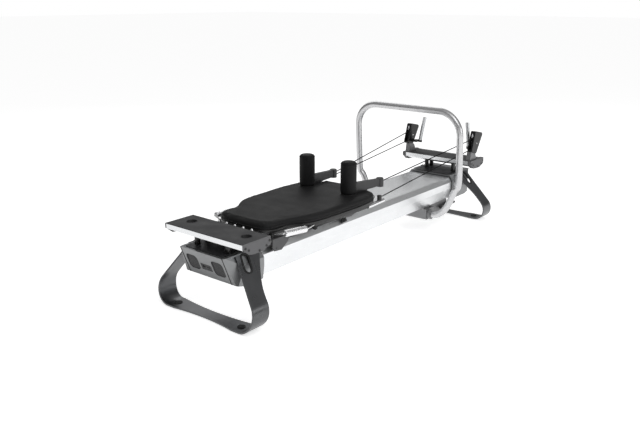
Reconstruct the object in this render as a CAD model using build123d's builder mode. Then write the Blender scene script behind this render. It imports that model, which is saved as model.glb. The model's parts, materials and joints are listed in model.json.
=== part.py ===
"""Pilates reformer: one wide aluminium rail on two looped legs, with a padded carriage.

Millimetres. X is across the machine, Y runs along the rail from the standing platform (-Y)
to the pulleys (+Y), Z is up and the floor is z = 0.
"""
import os
from math import atan2, cos, degrees, hypot, pi, radians, sin

from build123d import *

os.makedirs("parts", exist_ok=True)

# ---------------------------------------------------------------- driving dimensions
# rail
RAIL_Y0 = -956.0
RAIL_Y1 = 912.0
RAIL_TOP = 328.0
RAIL_BOTTOM = 187.0
RAIL_TOP_HALF = 151.0
RAIL_HALF = 170.0
RAIL_SHOULDER_Z = 299.0
RAIL_SIDE_Z = 256.0
RAIL_BOTTOM_HALF = 152.0
RAIL_WALL = 5.0
GROOVE_X = 141.0
GROOVE_W = 3.0
GROOVE_D = 1.5
TOOL_OVER = 1.0
WEB_X = 60.0
WEB_HALF_T = 2.0
WEB_REACH = 4.0
GASKET_T = 4.0
GASKET_PROUD = 2.0
GASKET_BAND = 12.0
# end housings
HOUSING_END = 1197.0
HOUSING_TOP = 341.0
HOUSING_BOTTOM = 182.0
HOUSING_LIP_Z = 196.0
HOUSING_FACE_HALF = 145.0
HOUSING_CHEEK_Y = 1112.0
HOUSING_RAKE = 58.0
HOUSING_HALF = 188.0
HOUSING_SIDE_Z = 255.0
HOUSING_BOTTOM_HALF = 178.0
HOUSING_HEEL = 20.0
CAVITY_HALF = 138.0
CAVITY_END = 6.0
CAVITY_Z = (206.0, 331.0)
GRILLE_U = 88.0
GRILLE_W = 80.0
GRILLE_H = 88.0
GRILLE_R = 22.0
GRILLE_SINK = 1.5
GRILLE_PITCH = 11.0
GRILLE_ROWS = 7
GRILLE_SLOT = (56.0, 5.0)
GRILLE_SLOT_D = 3.0
INSERT_GAP = 0.4
POCKET_D = 8.0
SOCKET_W = 76.0
SOCKET_H = 38.0
SOCKET_V = -12.0
SOCKET_R = 5.0
SOCKET_SINK = 2.0
PLUG_U = -18.0
PLUG_SIZE = (20.0, 14.0)
JACK_U = (7.0, 21.0)
JACK_R = 4.5
JACK_D = 4.0
LID_T = 3.0
LID_W = 268.0
LID_R = 14.0
LIDS = ((-1096.0, 168.0), (1024.0, 200.0))
# looped legs
LEG_T = 8.0
LEG_FLOOR = 4.0
LEG_SEAT_GAP = 0.05
LEG_TOP_X = 164.1
LEG_TOP_Z = 340.0
LEG_BEND_X = 251.6
LEG_BEND_R = 84.7
LEG_INNER_Y = -960.0
LEG_SPAN = 260.0
LEG_REACH = 400.0
# front edge and back edge of the strip, as (y, z), seen from the side
LEG_LEAD = ((-1127, 352), (-1131, 330), (-1173, 180), (-1204, 60), (-1215, 0))
LEG_TRAIL = ((-1111, 0), (-1093, 60), (-1071, 180), (-976, 330), (-962, 352))
# curved waist of the floor strip, as (x, y)
WAIST_FRONT = ((-215, -1216), (0, -1197), (215, -1216))
WAIST_BACK = ((-240, -1106), (0, -1124), (240, -1106))
WAIST_CUT = 30.0
SLOT_Y = 1086.0
SLOT_S = 49.0
SLOT_L = 108.0
SLOT_W = 54.0
SLOT_LEAN = 14.0
RING_WALL = 9.0
RING_PROUD = 2.0
SLOT_CUT = 40.0
PAD_X = 225.0
PAD_Y = 1164.0
PAD_R = 22.0
PAD_STEM_R = 14.0
PAD_CUT = 40.0
PAD_CAP_R = 20.0
PAD_CAP_T = 3.0
LEG_SCREW_Y = (1040.0, 1006.0)
LEG_SCREW_DOWN = 16.0
LEG_SCREW_R = 7.0
LEG_SCREW_HEAD = 3.0
# platforms
DECK_FRONT_Y = -1180.0
DECK_FRONT_TOP = 432.0
DECK_REAR_Y = 984.0
DECK_REAR_TOP = 443.0
DECK_HALF = 271.5
DECK_DEPTH = 182.0
MAT_T = 3.0
CAP_T = 6.0
CAP_T_REAR = 26.0
CAP_SCREW_R = 6.0
PEG_HOLE_X = 190.0
PEG_HOLE_DY = 102.0
PEG_HOLE_R = 26.0
PEG_DEPTH = 25.0
# platform's side outline as (forward, up from the top, share of the drop)
DECK_SECTION = (
    (0, 0, 0),
    (0, -25, 0),
    (40, -48, 1),
    (70, -52, 1),
    (128, -52, 1),
    (DECK_DEPTH, -36, 0.5),
    (DECK_DEPTH, 0, 0),
)
DECK_DROP = -4.0
CAP_DROP = 8.0
CAP_PROUD = 1.0
CAP_SCREW_YZ = ((13, -20), (34, -33), (104, -52), (152, -40), (172, -20))
CAP_SCREW_HEAD = 2.0
MAT_INSET = 2.0
REAR_MAT_INSET = (4.0, 30.0)
POST_X = 106.0
POST_R = 14.5
POST_GAP = 1.5
POST_SINK = 8.0
POST_DY = (60.0, 125.0)
# pulleys
PULLEY_X = 252.0
PULLEY_Y = 1052.0
PULLEY_Z = 557.0
PULLEY_R = 34.0
PULLEY_GROOVE_R = 30.0
PULLEY_W = 14.0
PULLEY_PIN_R = 5.0
PIN_PROUD = 1.0
PULLEY_RIM = 2.0
PULLEY_FLOOR = 2.2
RUN_FIT = 0.05
HOOD_W = 36.0
HOOD_SIDE = ((985.0, 508.0), (1026.0, 643.0), (1138.0, 618.0), (1055.0, 484.0))
HOOD_R = 14.0
HOOD_EDGE_R = 4.0
HOOD_SLOT_HALF = 9.0
HOOD_MOUTH = 90.0
WHEEL_ROOM = 4.0
STEM_SIDE = ((1004.0, 505.0), (1062.0, 492.0), (1086.0, 443.0), (994.0, 443.0))
STEM_HALF = 15.0
STEM_X = 242.0
ROPE_POST_FOOT = (192.0, 1085.0, 521.0)
ROPE_POST_TOP = (168.0, 1096.0, 682.0)
ROPE_POST_R = 13.0
CLIP_FOOT = (194.2, 1084.0, 506.0)
CLIP_R = 15.0
CLIP_X = 200.0
CLIP_Y = (1046.0, 1094.0)
CLIP_Z = (508.0, 520.0)
ROPE_R = 2.2
ROPE_END_Y = 984.0
# carriage
BOARD_Z = 400.0
BOARD_T = 12.0
BOARD_SCALE = 0.982
CUSHION_TOP = 450.0
# right half of the cushion's plan, from the foot end to the head end
CUSHION_HALF = (
    (0, -944),
    (100, -940),
    (158, -920),
    (186, -874),
    (188, -812),
    (206, -756),
    (240, -704),
    (261, -640),
    (270, -560),
    (273, -470),
    (273, -230),
    (263, -156),
    (228, -90),
    (150, -50),
    (0, -36),
)
FRAME_HALF = 190.0
FRAME_Y = (-900.0, -80.0)
FRAME_PLATE = 3.0
FRAME_RAIL_X = (160.0, 184.0)
FRAME_RAIL_Y = (-895.0, -85.0)
FRAME_Z0 = 373.0
FRAME_TIE_Y = (-150.0, -128.0)
FRAME_TIE_Z = 371.0
SKIRT_H = 16.0
SKIRT_PLAN = ((190, -640), (244, -640), (262, -560), (264, -190), (190, -190))
REST_X = 149.5
REST_Y = -232.0
REST_R = 46.5
REST_TOP = 640.0
REST_BASE_T = 6.0
REST_BASE_INSET = 2.0
REST_EDGE_R = 10.0
REST_FIT = 0.2
REST_CUT = (540.0, 200.0)
ARM_T = 24.0
ARM_ROOT = 12.0
ARM_LAP = 6.0
ARM_Z0 = 452.0
ARM_Z_REST = 510.0
ARM_Z_KNOB = 494.0
KNOB_Z0 = 446.0
KNOB_H = 51.0
KNOB_CHAMFER = 3.0
KNOB_CUT = (470.0, 100.0)
KNOB_X = 172.0
KNOB_Y = 42.0
KNOB_R = 22.0
WHEEL_GAP = 0.2
WHEEL_R = 18.0
WHEEL_X = 138.0
WHEEL_W = 18.0
WHEEL_Y = (-826.0, -250.0)
ROLLER_R = 14.0
ROLLER_W = 22.0
ROLLER_Y = (-872.0, -300.0)
FLANGE_LOW = (306.0, 342.0)
TRUCK_MARGIN = 40.0
TRUCK_INNER = 150.0
TRUCK_WEB = 156.0
TRUCK_WEB_Z0 = 334.0
TRUCK_OUTER = 202.0
TRUCK_PLATE = 6.0
FLANGE_X = 199.0
FLANGE_T = 6.0
FLANGE_CUT = 14.0
FLANGE_FOOT = 62.0
FLANGE_RISE = 4.0
FLANGE_CORNER = 28.0
AXLE_R = 4.0
# how far each bore and axle runs along its own axis
WHEEL_BORE = (-12.0, 40.0)
ROLLER_BORE = (-16.0, 34.0)
WHEEL_AXLE = (-10.0, 18.0)
ROLLER_AXLE = (-13.0, 34.0)
BRACKET_SCREW_DY = 8.0
BRACKET_SCREW_Z = 364.0
BRACKET_SCREW_RISE = 14.0
BRACKET_SCREW_R = 5.0
BRACKET_SCREW_HEAD = 2.5
BUMP_X = 214.0
BUMP_Y = -604.0
BUMP_Z = 352.0
BUMP_R = 11.0
BUMP_H = 32.0
BUMP_EDGE_R = 5.0
ANCHOR_X = 240.0
ANCHOR_Y = -58.0
ANCHOR_Z0 = 394.0
ANCHOR_Z1 = 422.0
ANCHOR_R = 13.0
ANCHOR_PLATE = ((184, -150), (184, -110), (236, -60), (236, -120))
ANCHOR_PLATE_Z = 376.0
ANCHOR_PLATE_T = 8.0
UPPER_ROPE_DX = 2.0
UPPER_ROPE_GAP = 1.0
UPPER_ROPE_Z = 474.0
UPPER_ROPE_RISE = 26.0
LOWER_ROPE_GAP = 3.0
LOWER_ROPE_Z = 411.0
LOWER_ROPE_DROP = 34.0
GRIP_ROOT_X = 184.1
GRIP_START = (190.0, -886.0, 391.0)
GRIP_A = (240.0, -876.0, 404.0)
GRIP_B = (256.0, -716.0, 392.0)
GRIP_END = (238.0, -642.0, 391.0)
GRIP_R = 18.0
GRIP_ROD_R = 5.0
SLEEVE_GAP = 6.0
CORNER_A = (250.0, -188.0, 386.0)
CORNER_B = (238.0, -18.0, 386.0)
CORNER_R = 12.0
# springs
SPRING_PITCH = 58.0
SPRING_COUNT = 5
SPRING_R = 11.0
SPRING_CORE_R = 8.8
SPRING_Z = 385.0
SPRING_Y0 = -956.0
BAR_TOP = 394.0
HOOK_Y = -966.0
HOOK_Z = 419.0
HOOK_R = 3.0
HOOK_BALL_R = 7.0
SPRING_BAR_HALF = 150.0
SPRING_BAR_Y = (-984.0, -964.0)
SPRING_BAR_Z0 = 374.0
BAR_FOOT_X = 146.0
BAR_FOOT_W = 6.0
BAR_FOOT_Y = (-982.0, -966.0)
SPRING_Y1 = -150.0
# foot bar
BAR_Y = 627.0
BAR_Z = 140.0
BAR_LEAN = 3.5
BAR_HALF = 384.0
BAR_HEIGHT = 688.0
BAR_R = 21.0
BAR_WALL = 2.5
BAR_CORNER = 150.0
BAR_FOOT_HALF = 198.0
# bend between the foot and the upright, as (x, up from the pivot)
BAR_CURVE = ((BAR_FOOT_HALF, 0), (262, 24), (314, 92), (359, 195), (BAR_HALF, 330))
BRACKET_HALF = 172.0
# bracket's side outline, as (forward of the pivot, z)
BRACKET_SIDE = ((-40, RAIL_BOTTOM), (60, RAIL_BOTTOM), (60, 128), (34, 106), (-30, 106), (-40, 116))
BRACKET_SLOT_HALF = 152.0
BRACKET_SLOT_Y = (33.0, 52.0)
BRACKET_SLOT_Z = (100.0, 180.0)
BRACKET_NOTCH_X = (152.0, 190.0)
BRACKET_NOTCH_Y = (-60.0, 80.0)
BRACKET_NOTCH_Z = (176.0, 200.0)
BOSS_L = 20.0
BOSS_R = 33.0
# sector plates under the rail, as (y, z)
SECTOR = (
    (690, 187),
    (886, 187),
    (890, 160),
    (868, 124),
    (820, 104),
    (764, 101),
    (712, 116),
    (690, 138),
)
SECTOR_RIM = ((690, 138), (712, 116), (764, 101), (820, 104), (868, 124), (890, 160))
SECTOR_X = (-152.0, 146.0)
SECTOR_T = 6.0
RIM_X = (-156.0, 142.0)
RIM_T = 14.0
RIM_HALF = 5.0
BOLT_YZ = ((712, 158), (868, 158))
BOLT_X = (152.0, 158.0)
BOLT_R = 8.0
# release lever
LEVER_Y = 790.0
LEVER_Z = 150.0
LEVER_X = 162.0
LEVER_T = 12.0
LEVER_EYE_R = 13.0
LEVER_PIN_R = 6.0
LEVER_PIN_X = (152.0, 180.0)
LEVER_BORE_X = (150.0, 190.0)
# lever's side outline, as (forward, up) from its pin
LEVER_SIDE = ((0, 9), (120, 12), (182, 4), (182, -8), (120, -10), (0, -9))


# ---------------------------------------------------------------- helpers
def across(y):
    """Plane across the rail at this y; its normal points to -Y."""
    return Plane.XZ.offset(-y)


def block(x0, x1, y0, y1, z0, z1, mode=Mode.ADD):
    """Axis-aligned block from corner to corner."""
    with Locations(((x0 + x1) / 2, (y0 + y1) / 2, (z0 + z1) / 2)):
        Box(x1 - x0, y1 - y0, z1 - z0, mode=mode)


def rod(p0, p1, radius, mode=Mode.ADD):
    """Round rod from point to point."""
    start = Vector(*p0)
    end = Vector(*p1)
    with BuildSketch(Plane(origin=start, z_dir=end - start)) as disc:
        Circle(radius)
    extrude(disc.sketch, amount=(end - start).length, mode=mode)


def on_side(side, point):
    """The point on the right (1) or mirrored to the left (-1)."""
    return (side * point[0], point[1], point[2])


def tube_ring(p0, p1, outer, inner):
    """Hollow sleeve from point to point."""
    start = Vector(*p0)
    end = Vector(*p1)
    with BuildSketch(Plane(origin=start, z_dir=end - start)) as ring:
        Circle(outer)
        Circle(inner, mode=Mode.SUBTRACT)
    extrude(ring.sketch, amount=(end - start).length)


def both_sides(half):
    """Close a right-hand half outline (top to bottom) with its mirror image."""
    return half + [(-x, z) for x, z in reversed(half)]


def save(builder, name):
    """Label a finished sub-part and write its file."""
    builder.part.label = name
    export_step(builder.part, "parts/" + name + ".step")


# ---------------------------------------------------------------- rail
rail_half = [
    (RAIL_TOP_HALF, RAIL_TOP),
    (RAIL_HALF, RAIL_SHOULDER_Z),
    (RAIL_HALF, RAIL_SIDE_Z),
    (RAIL_BOTTOM_HALF, RAIL_BOTTOM),
]
with BuildPart() as rail:
    with BuildSketch(across(RAIL_Y1)):
        Polygon(*both_sides(rail_half), align=None)
        offset(amount=-RAIL_WALL, kind=Kind.INTERSECTION, mode=Mode.SUBTRACT)
    extrude(amount=RAIL_Y1 - RAIL_Y0)
    for side in (-1, 1):
        block(
            side * GROOVE_X - GROOVE_W / 2,
            side * GROOVE_X + GROOVE_W / 2,
            RAIL_Y0,
            RAIL_Y1,
            RAIL_TOP - GROOVE_D,
            RAIL_TOP + TOOL_OVER,
            mode=Mode.SUBTRACT,
        )
        # inner webs that stiffen the box section
        block(
            side * WEB_X - WEB_HALF_T,
            side * WEB_X + WEB_HALF_T,
            RAIL_Y0,
            RAIL_Y1,
            RAIL_BOTTOM + WEB_REACH,
            RAIL_TOP - WEB_REACH,
        )
save(rail, "rail")

# ---------------------------------------------------------------- end housings
# the shoulders lie along the inner face of the leg plates, which lean at the angle phi
bend_z = LEG_FLOOR + LEG_BEND_R
reach = hypot(LEG_BEND_X - LEG_TOP_X, bend_z - LEG_TOP_Z)
phi = atan2(bend_z - LEG_TOP_Z, LEG_BEND_X - LEG_TOP_X) + pi / 2
phi = phi + atan2(LEG_BEND_R, (reach**2 - LEG_BEND_R**2) ** 0.5)
nx = cos(phi)
nz = sin(phi)
seat_d = nx * LEG_TOP_X + nz * LEG_TOP_Z - LEG_T - LEG_SEAT_GAP
housing_half = [
    ((seat_d - nz * HOUSING_TOP) / nx, HOUSING_TOP),
    (HOUSING_HALF, (seat_d - nx * HOUSING_HALF) / nz),
    (HOUSING_HALF, HOUSING_SIDE_Z),
    (HOUSING_BOTTOM_HALF, HOUSING_BOTTOM),
]
face_rise = HOUSING_TOP - HOUSING_LIP_Z
face_plane = Plane(
    origin=(0, -HOUSING_END + HOUSING_RAKE / 2, (HOUSING_TOP + HOUSING_LIP_Z) / 2),
    x_dir=(1, 0, 0),
    z_dir=(0, -face_rise, -HOUSING_RAKE),
)


def build_housing(inner_y):
    """End housing in the front position, open towards the rail."""
    with BuildSketch(across(-inner_y)) as section:
        Polygon(*both_sides(housing_half), align=None)
    extrude(section.sketch, amount=HOUSING_END - inner_y)
    with BuildSketch(Plane.XY) as plan:
        Polygon(
            (-HOUSING_FACE_HALF, -HOUSING_END),
            (HOUSING_FACE_HALF, -HOUSING_END),
            (HOUSING_HALF, -HOUSING_CHEEK_Y),
            (HOUSING_HALF, -inner_y),
            (-HOUSING_HALF, -inner_y),
            (-HOUSING_HALF, -HOUSING_CHEEK_Y),
            align=None,
        )
    extrude(plan.sketch, amount=HOUSING_TOP, mode=Mode.INTERSECT)
    with BuildSketch(Plane.YZ.offset(-HOUSING_HALF)) as flank:
        Polygon(
            (-HOUSING_END, HOUSING_TOP),
            (-inner_y, HOUSING_TOP),
            (-inner_y, HOUSING_BOTTOM),
            (-HOUSING_CHEEK_Y + HOUSING_HEEL, HOUSING_BOTTOM),
            (-HOUSING_END + HOUSING_RAKE, HOUSING_LIP_Z),
            align=None,
        )
    extrude(flank.sketch, amount=2 * HOUSING_HALF, mode=Mode.INTERSECT)
    block(
        -CAVITY_HALF,
        CAVITY_HALF,
        -HOUSING_CHEEK_Y - CAVITY_END,
        -inner_y,
        CAVITY_Z[0],
        CAVITY_Z[1],
        mode=Mode.SUBTRACT,
    )
    with BuildSketch(face_plane) as pockets:
        with Locations((-GRILLE_U, 0), (GRILLE_U, 0)):
            RectangleRounded(GRILLE_W, GRILLE_H, GRILLE_R)
        with Locations((0, SOCKET_V)):
            RectangleRounded(SOCKET_W, SOCKET_H, SOCKET_R)
    extrude(pockets.sketch, amount=-POCKET_D, mode=Mode.SUBTRACT)


with BuildPart() as front_housing:
    build_housing(-RAIL_Y0 + GASKET_T)
save(front_housing, "front_housing")

with BuildPart() as rear_source:
    build_housing(RAIL_Y1 + GASKET_T)
with BuildPart() as rear_housing:
    add(rear_source.part.mirror(Plane.XZ))
save(rear_housing, "rear_housing")

with BuildPart() as gaskets:
    for y in (RAIL_Y0, RAIL_Y1 + GASKET_T):
        with BuildSketch(across(y)):
            Polygon(*both_sides(rail_half), align=None)
            offset(amount=GASKET_PROUD, kind=Kind.INTERSECTION)
            offset(amount=-GASKET_BAND, kind=Kind.INTERSECTION, mode=Mode.SUBTRACT)
        extrude(amount=GASKET_T)
save(gaskets, "gaskets")

post_places = [
    (side * POST_X, deck_y + dy)
    for side in (-1, 1)
    for dy in POST_DY
    for deck_y in (DECK_FRONT_Y, DECK_REAR_Y)
]
with BuildPart() as housing_lids:
    for y, length in LIDS:
        with BuildSketch(Plane.XY.offset(HOUSING_TOP)):
            with Locations((0, y)):
                RectangleRounded(LID_W, length, LID_R)
            with Locations(*post_places):
                Circle(POST_R + POST_GAP, mode=Mode.SUBTRACT)
        extrude(amount=LID_T)
save(housing_lids, "housing_lids")

with BuildPart() as grille_pair:
    with BuildSketch(face_plane.offset(-POCKET_D)):
        with Locations((-GRILLE_U, 0), (GRILLE_U, 0)):
            RectangleRounded(
                GRILLE_W - INSERT_GAP,
                GRILLE_H - INSERT_GAP,
                GRILLE_R - INSERT_GAP / 2,
            )
    extrude(amount=POCKET_D - GRILLE_SINK)
    with BuildSketch(face_plane.offset(-GRILLE_SINK)):
        with Locations((-GRILLE_U, 0), (GRILLE_U, 0)):
            with GridLocations(0, GRILLE_PITCH, 1, GRILLE_ROWS):
                SlotOverall(*GRILLE_SLOT)
    extrude(amount=-GRILLE_SLOT_D, mode=Mode.SUBTRACT)

with BuildPart() as grilles:
    add(grille_pair.part)
    add(grille_pair.part.mirror(Plane.XZ))
save(grilles, "grilles")

with BuildPart() as socket_front:
    with BuildSketch(face_plane.offset(-POCKET_D)):
        with Locations((0, SOCKET_V)):
            RectangleRounded(SOCKET_W - INSERT_GAP, SOCKET_H - INSERT_GAP, SOCKET_R - INSERT_GAP / 2)
    extrude(amount=POCKET_D - SOCKET_SINK)
    with BuildSketch(face_plane.offset(-SOCKET_SINK)):
        with Locations((PLUG_U, SOCKET_V)):
            Rectangle(*PLUG_SIZE)
        with Locations(*[(u, SOCKET_V) for u in JACK_U]):
            Circle(JACK_R)
    extrude(amount=-JACK_D, mode=Mode.SUBTRACT)
with BuildPart() as socket_panels:
    add(socket_front.part)
    add(socket_front.part.mirror(Plane.XZ))
save(socket_panels, "socket_panels")

# ---------------------------------------------------------------- looped legs
def bend_point(radius, angle):
    """Point on the bottom bend of the right side of the leg."""
    return (LEG_BEND_X + radius * cos(angle), bend_z + radius * sin(angle))


def leg_outline(radius, shift):
    """Lines of one skin of the leg, from the right top round the floor to the left top."""
    top = (LEG_TOP_X - nx * shift, LEG_TOP_Z - nz * shift)
    tangent = bend_point(radius, phi)
    middle = bend_point(radius, (phi - pi / 2) / 2)
    bottom = bend_point(radius, -pi / 2)
    Line(top, tangent)
    ThreePointArc(tangent, middle, bottom)
    Line(bottom, (-bottom[0], bottom[1]))
    ThreePointArc((-bottom[0], bottom[1]), (-middle[0], middle[1]), (-tangent[0], tangent[1]))
    Line((-tangent[0], tangent[1]), (-top[0], top[1]))
    return top


strip_u = Plane(origin=(LEG_TOP_X, 0, LEG_TOP_Z), x_dir=(0, 1, 0), z_dir=(nx, 0, nz))
strip_u_left = Plane(origin=(-LEG_TOP_X, 0, LEG_TOP_Z), x_dir=(0, 1, 0), z_dir=(-nx, 0, nz))


def slot_shape(plane, length, width, sign):
    """Leaning oval slot on the side plate of a leg."""
    with BuildSketch(plane) as slot:
        with Locations(Location((-SLOT_Y, sign * SLOT_S), 90 + SLOT_LEAN * sign)):
            SlotOverall(length, width)
    return slot.sketch


with BuildPart() as front_leg:
    with BuildSketch(across(LEG_INNER_Y)):
        with BuildLine():
            outer_top = leg_outline(LEG_BEND_R, 0)
            inner_top = leg_outline(LEG_BEND_R - LEG_T, LEG_T)
            Line(outer_top, inner_top)
            Line((-outer_top[0], outer_top[1]), (-inner_top[0], inner_top[1]))
        make_face()
    extrude(amount=LEG_SPAN)
    with BuildSketch(Plane.YZ.offset(-LEG_REACH)):
        with BuildLine():
            Spline(*LEG_LEAD)
            Line(LEG_LEAD[-1], LEG_TRAIL[0])
            Spline(*LEG_TRAIL)
            Line(LEG_TRAIL[-1], LEG_LEAD[0])
        make_face()
    extrude(amount=2 * LEG_REACH, mode=Mode.INTERSECT)
    with BuildSketch(Plane.XY):
        for left, middle, right in (WAIST_FRONT, WAIST_BACK):
            with BuildLine():
                ThreePointArc(left, middle, right)
                Line(right, left)
            make_face()
    extrude(amount=WAIST_CUT, mode=Mode.SUBTRACT)
    for plane in (strip_u, strip_u_left):
        sign = -1 if plane.y_dir.Z > 0 else 1
        slot = slot_shape(plane, SLOT_L, SLOT_W, sign)
        extrude(slot, amount=SLOT_CUT, both=True, mode=Mode.SUBTRACT)
    with Locations((-PAD_X, -PAD_Y, 0), (PAD_X, -PAD_Y, 0)):
        Cylinder(PAD_STEM_R, PAD_CUT, mode=Mode.SUBTRACT)
save(front_leg, "front_leg")

with BuildPart() as rear_leg:
    add(front_leg.part.mirror(Plane.XZ))
save(rear_leg, "rear_leg")

with BuildPart() as front_rings:
    for plane in (strip_u, strip_u_left):
        sign = -1 if plane.y_dir.Z > 0 else 1
        outer_plane = plane.offset(RING_PROUD)
        slot = slot_shape(outer_plane, SLOT_L, SLOT_W, sign)
        hole = slot_shape(outer_plane, SLOT_L - 2 * RING_WALL, SLOT_W - 2 * RING_WALL, sign)
        extrude(slot, amount=-(LEG_T + RING_PROUD))
        extrude(hole, amount=-(LEG_T + RING_PROUD), mode=Mode.SUBTRACT)
with BuildPart() as slot_rings:
    add(front_rings.part)
    add(front_rings.part.mirror(Plane.XZ))
save(slot_rings, "slot_rings")

with BuildPart() as floor_pads:
    for sy in (-1, 1):
        with Locations((-PAD_X, sy * PAD_Y, 0), (PAD_X, sy * PAD_Y, 0)):
            Cylinder(PAD_R, LEG_FLOOR, align=(Align.CENTER, Align.CENTER, Align.MIN))
            Cylinder(PAD_STEM_R, LEG_FLOOR + LEG_T, align=(Align.CENTER, Align.CENTER, Align.MIN))
        with Locations(
            (-PAD_X, sy * PAD_Y, LEG_FLOOR + LEG_T), (PAD_X, sy * PAD_Y, LEG_FLOOR + LEG_T)
        ):
            Cylinder(PAD_CAP_R, PAD_CAP_T, align=(Align.CENTER, Align.CENTER, Align.MIN))
save(floor_pads, "floor_pads")


# ---------------------------------------------------------------- platforms
def deck_outline(y0, top, drop):
    """Side outline of a platform extrusion or of its end cap."""
    return [(y0 + dy, top + dz - share * drop) for dy, dz, share in DECK_SECTION]


def build_deck(y0, top, cap):
    """Aluminium platform extrusion with its round peg sockets."""
    half = DECK_HALF - cap
    with BuildSketch(Plane.YZ.offset(-half)) as flank:
        Polygon(*deck_outline(y0, top - MAT_T, DECK_DROP), align=None)
    extrude(flank.sketch, amount=2 * half)


with BuildPart() as front_deck:
    build_deck(DECK_FRONT_Y, DECK_FRONT_TOP, CAP_T)
    with Locations(
        (-PEG_HOLE_X, DECK_FRONT_Y + PEG_HOLE_DY, DECK_FRONT_TOP),
        (PEG_HOLE_X, DECK_FRONT_Y + PEG_HOLE_DY, DECK_FRONT_TOP),
    ):
        Cylinder(PEG_HOLE_R, 2 * PEG_DEPTH, mode=Mode.SUBTRACT)
save(front_deck, "front_deck")

with BuildPart() as rear_deck:
    build_deck(DECK_REAR_Y, DECK_REAR_TOP, CAP_T_REAR)
save(rear_deck, "rear_deck")

with BuildPart() as deck_mats:
    block(
        -DECK_HALF + CAP_T,
        DECK_HALF - CAP_T,
        DECK_FRONT_Y + MAT_INSET,
        DECK_FRONT_Y + DECK_DEPTH - MAT_INSET,
        DECK_FRONT_TOP - MAT_T,
        DECK_FRONT_TOP,
    )
    with Locations(
        (-PEG_HOLE_X, DECK_FRONT_Y + PEG_HOLE_DY, DECK_FRONT_TOP),
        (PEG_HOLE_X, DECK_FRONT_Y + PEG_HOLE_DY, DECK_FRONT_TOP),
    ):
        Cylinder(PEG_HOLE_R, 2 * PEG_DEPTH, mode=Mode.SUBTRACT)
    block(
        -DECK_HALF + CAP_T_REAR,
        DECK_HALF - CAP_T_REAR,
        DECK_REAR_Y + REAR_MAT_INSET[0],
        DECK_REAR_Y + DECK_DEPTH - REAR_MAT_INSET[1],
        DECK_REAR_TOP - MAT_T,
        DECK_REAR_TOP,
    )
save(deck_mats, "deck_mats")


def build_caps(y0, top, thick):
    """Pair of end caps for a platform."""
    for start in (-DECK_HALF, DECK_HALF - thick):
        with BuildSketch(Plane.YZ.offset(start)) as flank:
            Polygon(*deck_outline(y0 - CAP_PROUD, top, CAP_DROP), align=None)
        extrude(flank.sketch, amount=thick)


with BuildPart() as end_caps:
    build_caps(DECK_FRONT_Y, DECK_FRONT_TOP, CAP_T)
    build_caps(DECK_REAR_Y, DECK_REAR_TOP, CAP_T_REAR)
save(end_caps, "end_caps")

with BuildPart() as cap_screws:
    for y0, top in ((DECK_FRONT_Y, DECK_FRONT_TOP), (DECK_REAR_Y, DECK_REAR_TOP)):
        for dy, dz in CAP_SCREW_YZ:
            for side in (-1, 1):
                rod(
                    (side * DECK_HALF, y0 + dy, top + dz),
                    (side * (DECK_HALF + CAP_SCREW_HEAD), y0 + dy, top + dz),
                    CAP_SCREW_R,
                )
save(cap_screws, "cap_screws")

with BuildPart() as deck_posts:
    for y0, top in ((DECK_FRONT_Y, DECK_FRONT_TOP), (DECK_REAR_Y, DECK_REAR_TOP)):
        for dy in POST_DY:
            for side in (-1, 1):
                rod(
                    (side * POST_X, y0 + dy, HOUSING_TOP),
                    (side * POST_X, y0 + dy, top - MAT_T - POST_SINK),
                    POST_R,
                )
    add(front_deck.part, mode=Mode.SUBTRACT)
    add(rear_deck.part, mode=Mode.SUBTRACT)
save(deck_posts, "deck_posts")

# ---------------------------------------------------------------- pulleys
with BuildPart() as pulley_hoods:
    for side in (-1, 1):
        with BuildSketch(Plane.YZ.offset(side * PULLEY_X - HOOD_W / 2)) as hood:
            Polygon(*HOOD_SIDE, align=None)
            fillet(hood.vertices(), HOOD_R)
        extrude(amount=HOOD_W)
    fillet(pulley_hoods.edges().filter_by(Plane.YZ), HOOD_EDGE_R)
    for side in (-1, 1):
        cx = side * PULLEY_X
        low_z = PULLEY_Z - PULLEY_R - WHEEL_ROOM
        high_z = PULLEY_Z + PULLEY_R + WHEEL_ROOM
        rod(
            (cx - HOOD_SLOT_HALF, PULLEY_Y, PULLEY_Z),
            (cx + HOOD_SLOT_HALF, PULLEY_Y, PULLEY_Z),
            PULLEY_R + WHEEL_ROOM,
            mode=Mode.SUBTRACT,
        )
        block(
            cx - HOOD_SLOT_HALF,
            cx + HOOD_SLOT_HALF,
            PULLEY_Y - HOOD_MOUTH,
            PULLEY_Y,
            low_z,
            high_z,
            mode=Mode.SUBTRACT,
        )
        rod(
            (cx - HOOD_W, PULLEY_Y, PULLEY_Z),
            (cx + HOOD_W, PULLEY_Y, PULLEY_Z),
            PULLEY_PIN_R,
            mode=Mode.SUBTRACT,
        )
save(pulley_hoods, "pulley_hoods")

with BuildPart() as pulley_pins:
    for side in (-1, 1):
        rod(
            (side * PULLEY_X - HOOD_W / 2 - PIN_PROUD, PULLEY_Y, PULLEY_Z),
            (side * PULLEY_X + HOOD_W / 2 + PIN_PROUD, PULLEY_Y, PULLEY_Z),
            PULLEY_PIN_R,
        )
save(pulley_pins, "pulley_pins")


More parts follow.
